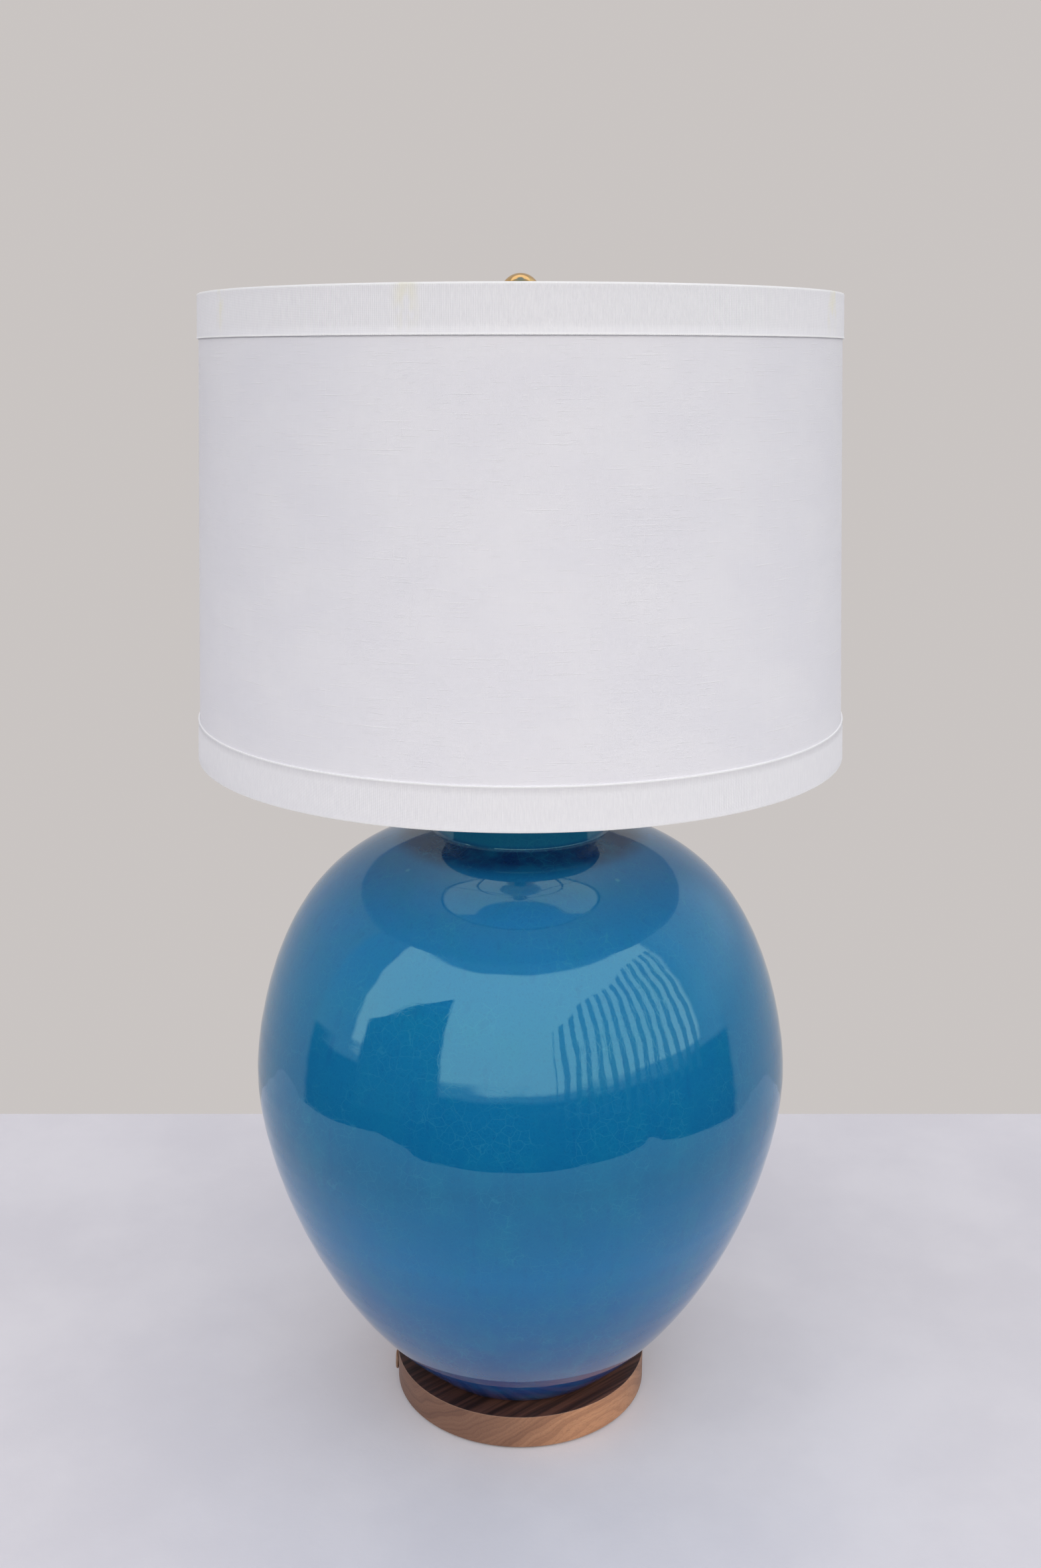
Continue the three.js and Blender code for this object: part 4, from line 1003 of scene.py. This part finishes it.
def make_switch(height):
    """The turn switch's shaft and its fluted knob, along -Y."""
    inside, outside = (-corner.y / MM for corner in BOXES["switch_shaft"][::-1])
    shaft = [(0, inside), (1.5, inside, 0.2), (1.5, outside, 0.3), (0, outside)]
    turned("switch_shaft", shaft, STEEL, 28, None, "-y", (0, 0, height))
    inside, outside = (-corner.y / MM for corner in BOXES["switch_knob"][::-1])
    r, flutes = 5.6, 16
    knob = rounded([
        (1.8, inside, 0.2), (4.4, inside, 0.4), (4.6, inside + 1.6, 0.4), (r, inside + 2.4, 0.5),
        (r, outside, 1.1), (2.2, outside, 0.5), (2.0, outside - 0.5, 0.3), (0, outside - 0.5),
        (0, outside - 5.2), (1.8, outside - 5.2),
    ])

    def fluted(a, radius, z):
        fade = np.clip((z - inside - 2) / 0.6, 0, 1)
        return np.where(radius > r - 0.6, fade * (0.30 * np.cos(flutes * a) - 0.05), 0)

    turned("switch_knob", subdivided(knob, 1.2), PHENOLIC, 192, fluted, "-y", (0, 0, height))


# --- bulb
def make_bulb():
    lo, hi = ends("bulb_contact")
    tip = [(0, lo), (2.4, lo + 0.15, 0.5), (2.8, hi, 0.1), (0, hi)]
    turned("bulb_contact", tip, STEEL, 32)
    lo, hi = ends("bulb_insulator")
    cone = [(0, lo), (4.2, lo, 0.4), (9.4, hi, 0.3), (0, hi)]
    turned("bulb_insulator", cone, GLASS_BLACK, 64)

    lo, hi = ends("bulb_base")
    wall = 12.6
    cup = [(6, lo), (9.8, lo), (11.6, lo + 0.8), (wall, lo + 2)]
    cup += [(wall, z) for z in np.arange(lo + 2.4, hi - 0.2, 0.3)]
    cup += [
        (wall, hi), (wall - 0.5, hi), (wall - 0.95, lo + 3), (9.4, lo + 0.5),
        (6, lo + 0.5),
    ]
    turned("bulb_base", cup, NICKEL, 72, rolled(0.33, wall - 0.2, lo, hi))

    foot, crown, r = spans("bulb_glass")
    neck, sheet = 11.3, 0.8
    outside = smooth_curve([
        (neck, foot), (neck, foot + 12), (neck + 3, foot + 23), (r - 9, foot + 38),
        (r - 2.2, foot + 53), (r, crown - 30), (r - 2.4, crown - 17), (r - 9.5, crown - 5.8),
        (r - 20, crown - 0.8), (0, crown),
    ], 70)
    inside = inset(outside, sheet)
    outside[-1], inside[-1] = (0, crown), (0, crown - sheet)
    outline = [(max(a, 0), b) for a, b in (*outside, *inside[::-1])]
    turned("bulb_glass", outline, OPAL, 128)


# --- shade
def shade_r(z):
    """Outer radius of the shade at a height."""
    down = (SHADE_TOP - np.asarray(z, float)) / (SHADE_TOP - SHADE_BOTTOM)
    return SHADE_TOP_R + down * (SHADE_BOTTOM_R - SHADE_TOP_R)


def off_angle(a, other):
    """Signed angle from another angle, the short way round."""
    return (a - other + math.pi) % TAU - math.pi


def off_seam(a):
    """Signed distance round the shade from its back seam."""
    return off_angle(a, SEAM_ANGLE) * SHADE_BOTTOM_R


def make_skin(node, finish, depth, seam, bow):
    """A shell of the drum: linen or liner, lapped at the back seam, uneven as laminated card is."""
    sheet, edge = 0.6, 1.0
    lo, hi = SHADE_BOTTOM + edge, SHADE_TOP - edge
    rows = np.linspace(lo, hi, 48)
    outline = [(shade_r(z) - depth, z) for z in rows]
    outline += [(shade_r(z) - depth - sheet, z) for z in rows[::-1]]

    def wave(a, r, z):
        lap = seam * np.clip((5.5 - np.abs(off_seam(a))) / 0.8, 0, 1)
        uneven = np.sin(4 * a + z / 90) + 0.6 * np.sin(9 * a - z / 50)
        uneven = bow * (uneven + 0.4 * np.sin(15 * a + z / 31))
        return lap + uneven * np.sin(np.pi * (z - lo) / (hi - lo))

    turned(node, outline, finish, 480, wave)


def make_trim(node, rim, direction):
    """Grosgrain folded over a rim: ribs, a corded selvedge, notches where the arms pass."""
    sheet, fold, depth = 0.7, 6.8, 8
    ribs, rib_height, edge = 1060, 0.095, TRIM_WIDTH

    def at(inset_mm, down):
        z = rim - direction * down
        return (float(shade_r(z)) - inset_mm, z)

    selvedge = [(0.25, edge), (-0.10, edge - 0.05), (-0.18, edge - 0.5), (-0.10, edge - 0.95)]
    face = [(0, down) for down in np.linspace(edge - 1.1, 2.2, 6)]
    over_rim = [
        (-0.08, 1.2), (-0.06, 0.6), (0.15, 0.12), (0.6, 0), (2.5, 0.05), (fold - 0.7, 0.05),
        (fold - 0.1, 0.25), (fold, 1.0), (fold, 4.5), (fold, depth),
    ]
    back = [
        (fold - sheet, depth), (fold - sheet, 4.5), (fold - sheet, sheet), (sheet, sheet),
        (sheet, edge / 2), (sheet, edge),
    ]
    outline = [at(*corner) for corner in selvedge + face + over_rim + back]
    arms = [ARM_FIRST + TAU * i / ARM_COUNT for i in range(ARM_COUNT)]

    def wave(a, r, z):
        down = (rim - z) * direction
        outer = (shade_r(z) - r) < 0.2
        inner = ((shade_r(z) - r) > fold - sheet - 0.2) & (down > 0.9)
        rib = rib_height * np.cos(ribs * a)
        lap = 0.3 * np.clip((4.5 - np.abs(off_seam(a))) / 0.5, 0, 1)
        radius = r + np.where(outer, rib + lap, 0) + np.where(inner, 0.4 * rib, 0)
        height = z.copy()
        if direction > 0:
            for arm in arms:
                near = np.abs(off_angle(a, arm)) * (SHADE_TOP_R - fold) < 2.6
                height = np.where(near & inner, rim - 0.9, height)
        return radius, height

    turned(node, outline, GROSGRAIN, ribs * 2, wave)


def make_rings():
    """The two wire rings, each with its butt weld beside the seam."""
    angles = TAU * np.arange(360) / 360
    for node in ("top_ring", "bottom_ring"):
        lo, hi, outside = spans(node)
        r_wire, z = (hi - lo) / 2, (hi + lo) / 2
        centre = outside - r_wire
        path = np.stack([centre * np.cos(angles), centre * np.sin(angles), np.full(360, z)], -1)
        butt = np.abs((angles - SEAM_ANGLE - 0.25 + math.pi) % TAU - math.pi)
        radius = r_wire * (1 + 0.16 * np.exp(-(butt / 0.012) ** 2))
        stands_for(sweep(node + "_looks", path, radius, 14, True), node, WIRE_BRASS)


def make_spider():
    lo, hi, r = spans("spider_hub")
    hub = [
        (3.6, lo, 0.3), (r, lo, 0.6), (r, hi, 0.6), (9.6, hi, 0.3),
        (8.9, hi - 0.3, 0.3), (3.6, hi - 0.3, 0.3),
    ]
    turned("spider_hub", hub, WIRE_BRASS, 96)
    ring_low, ring_high, ring_reach = spans("top_ring")
    arm_z, ring_z = (lo + hi) / 2, (ring_high + ring_low) / 2
    ring_r = ring_reach - (ring_high - ring_low) / 2
    bend_r, wire_r = 166, 1.4
    straight = smooth_curve([
        (11, 0, arm_z), (40, 0, arm_z), (100, 0, arm_z), (bend_r - 8, 0, arm_z),
        (bend_r, 0, arm_z + 0.8), (bend_r + 7, 0, arm_z + 5), (ring_r - 5, 0, ring_z - 4.6),
        (ring_r - 1.6, 0, ring_z - 0.6),
    ], 90)
    weld = 0.55 * np.exp(-(np.linalg.norm(straight - straight[-1], axis=1) / 2.2) ** 2)
    collar = 0.35 * np.exp(-(np.abs(straight[:, 0] - r) / 2.0) ** 2)
    for i in range(ARM_COUNT):
        angle = ARM_FIRST + TAU * i / ARM_COUNT
        path = [carried_round(angle, p) for p in straight]
        node = f"spider_arm_{i + 1}"
        made = sweep(node + "_looks", path, wire_r + weld + collar, 14)
        stands_for(made, node, WIRE_BRASS)


def make_finial():
    lo, hi, r = spans("finial_foot")
    bore, neck = 3.5, 4.6
    foot = [
        (bore, lo, 0.2), (r, lo, 0.3), (r, lo + 1.2, 0.5),
        (r - 1, lo + 1.7, 0.3), (neck + 0.2, lo + 2.4, 0.6), (neck, lo + 3.4, 0.4),
        (neck, hi), (0, hi), (0, hi - 2), (bore, hi - 2),
    ]
    turned("finial_foot", foot, BALL_BRASS, 72)
    ball_r, ball_top = reach("finial_ball"), high("finial_ball")
    centre, socket = ball_top - ball_r, neck + 0.3
    turns = np.linspace(-math.acos(socket / ball_r), math.pi / 2, 60)
    ball = [(ball_r * math.cos(t), centre + ball_r * math.sin(t)) for t in turns]
    ball[-1] = (0, ball_top)
    ball += [(0, hi + 0.3), (socket, hi + 0.3)]
    turned("finial_ball", ball, BALL_BRASS, 96)


# --- stage, light and camera
FLOOR_LEFT, FLOOR_RIGHT, FLOOR_FRONT, FLOOR_BACK = -1.05, 0.86, -0.745, 0.40
WALL_COLOUR = (0.586, 0.554, 0.540)
LENS_MM, SENSOR_MM = 36.433, 36
EYE = (0, -0.995, 0.70166)
LOOK_DOWN = 14.96               # degrees below level

# What the glaze mirrors: stretches of azimuth (from +X, towards +Y) and of height, in degrees.
SCREEN_TURN, SCREEN_UP = (-167.0, -6.0), (4.0, 50.0)
SLATS_TURN, SLAT_PITCH = (-76.0, -6.0), 5.2
RIDGE_TURN, RIDGE_SLOPE = -15.0, 0.9
BLOCK_TURN, BLOCK_TOP, GABLE_SLOPE = (-161.0, -124.0), 14.0, 0.58
WALL_TURN, WALL_TOP = (10.0, 170.0), (52.0, 54.0)
CANOPY_TURN, CANOPY_UP = (14.0, 166.0), (53.0, 76.0)
GLOW_TURN, GLOW_UP = (-4.0, 52.0), (6.0, 58.0)


def make_floor():
    f = Finish("floor_paint", Specular_IOR_Level=0.3)
    cloud = f.noise(f.place, 0.006, 5.0, 0.6)
    colour = f.mix(f.step(cloud, 0.35, 0.7), (0.675, 0.655, 0.690), (0.728, 0.706, 0.735))
    f.bump(f.noise(f.place, 0.35, 4.0), 0.08)
    finish = f.done(colour, f.step(cloud, 0.3, 0.8, 0.55, 0.7))
    x0, x1, y0, y1 = (v / MM for v in (FLOOR_LEFT, FLOOR_RIGHT, FLOOR_FRONT, FLOOR_BACK))
    corners = ((x0, y0), (x1, y0), (x1, y1), (x0, y1))
    points = [(x, y, z) for z in (-20.1, -0.1) for x, y in corners]
    faces = [(0, 3, 2, 1), (4, 5, 6, 7), (0, 1, 5, 4), (1, 2, 6, 5), (2, 3, 7, 6), (3, 0, 4, 7)]
    floor = mesh_object("floor", points, faces)
    floor.data.materials.append(finish)


def make_light():
    """Soft light from every side, painted by direction; the camera itself sees a plain wall.

    In front: a bright screen, slats under a ridge on its right and a dark gabled block on its
    left. Behind: a pale wall with a lit canopy over it. On the right: a soft glow. The rest is
    cool sky above and darkness below.
    """
    world = bpy.data.worlds.new("studio")
    bpy.context.scene.world = world
    world.use_nodes = True
    n = Nodes(world.node_tree)
    x, y, z = n.node("SeparateXYZ", Vector=n.node("TexCoord").outputs["Generated"]).outputs
    up = n.math("DEGREES", n.math("ARCSINE", z))
    turn = n.math("DEGREES", n.math("ARCTAN2", y, x))

    def patch(turns, turn_soft, heights, height_soft):
        return n.times(n.between(turn, *turns, turn_soft), n.between(up, *heights, height_soft))

    def under(height):
        """1 below a height that changes with the azimuth."""
        return n.step(n.minus(height, up), 0.0, 1.0)

    sky = n.ramp(
        n.over(up, 90.0),
        (0.00, (0.62, 0.70, 0.80)),
        (0.35, (0.42, 0.56, 0.82)),
        (0.70, (0.50, 0.52, 0.58)),
        (0.90, (0.26, 0.46, 0.86)),
    )
    light = n.mix(n.step(up, -1.0, 2.0), (0.060, 0.068, 0.072), sky)
    light = n.mix(patch(SCREEN_TURN, 1.2, SCREEN_UP, 1.0), light, (2.72, 2.66, 2.62))

    ridge = n.math("COSINE", n.math("RADIANS", n.plus(turn, -RIDGE_TURN)))
    ridge = n.math("DEGREES", n.math("ARCTANGENT", n.times(ridge, RIDGE_SLOPE)))
    slats = n.step(n.math("SINE", n.times(turn, TAU / SLAT_PITCH)), -0.1, 0.25)
    slats = n.times(slats, n.between(turn, *SLATS_TURN, 0.5))
    slats = n.times(slats, n.times(n.step(up, -5.0, -3.0), under(ridge)))
    light = n.tint(light, slats, 0.8, (0.16, 0.22, 0.24))

    gable = n.scaled_plus(n.plus(turn, -BLOCK_TURN[0]), GABLE_SLOPE, BLOCK_TOP)
    block = n.times(n.between(turn, *BLOCK_TURN, 0.8), under(gable))
    light = n.tint(light, block, n.step(up, -9.0, -7.0), (0.10, 0.13, 0.13))

    wall = n.times(n.between(turn, *WALL_TURN, 2.0), n.step(up, *WALL_TOP, 1.0, 0.0))
    light = n.mix(wall, light, WALL_COLOUR)
    light = n.mix(patch(CANOPY_TURN, 3.0, CANOPY_UP, 1.0), light, (1.35, 1.22, 1.12))
    light = n.tint(light, patch(GLOW_TURN, 10.0, GLOW_UP, 8.0), 0.4, (1.25, 1.38, 1.45))

    lit = n.node("Background", Color=light, Strength=0.92)
    seen = n.node("Background", Color=WALL_COLOUR, Strength=1.0)
    both = n.node("MixShader")
    ways = (n.node("LightPath").outputs["Is Camera Ray"], lit.outputs[0], seen.outputs[0])
    for socket, value in zip(both.inputs, ways):
        n.feed(socket, value)
    n.node("OutputWorld", Surface=both.outputs[0])


def make_camera():
    lens = bpy.data.cameras.new("camera")
    lens.lens, lens.sensor_width = LENS_MM, SENSOR_MM
    lens.clip_start, lens.clip_end = 0.01, 100
    eye = bpy.data.objects.new("camera", lens)
    bpy.context.scene.collection.objects.link(eye)
    eye.location = EYE
    eye.rotation_euler = (math.radians(90 - LOOK_DOWN), 0, 0)
    bpy.context.scene.camera = eye


make_camera()
make_floor()
make_light()
make_felt()
make_walnut()
make_fixings()
make_rod()
make_jar()
make_stack()
make_harp()
make_holder()
make_bulb()
make_skin("shade_fabric", LINEN, 0.8, 0.14, 0.06)
make_skin("shade_liner", STYRENE, 1.9, -0.14, 0.04)
make_trim("top_trim", SHADE_TOP, 1)
make_trim("bottom_trim", SHADE_BOTTOM, -1)
make_rings()
make_spider()
make_finial()

bpy.context.scene.view_settings.view_transform = "Standard"
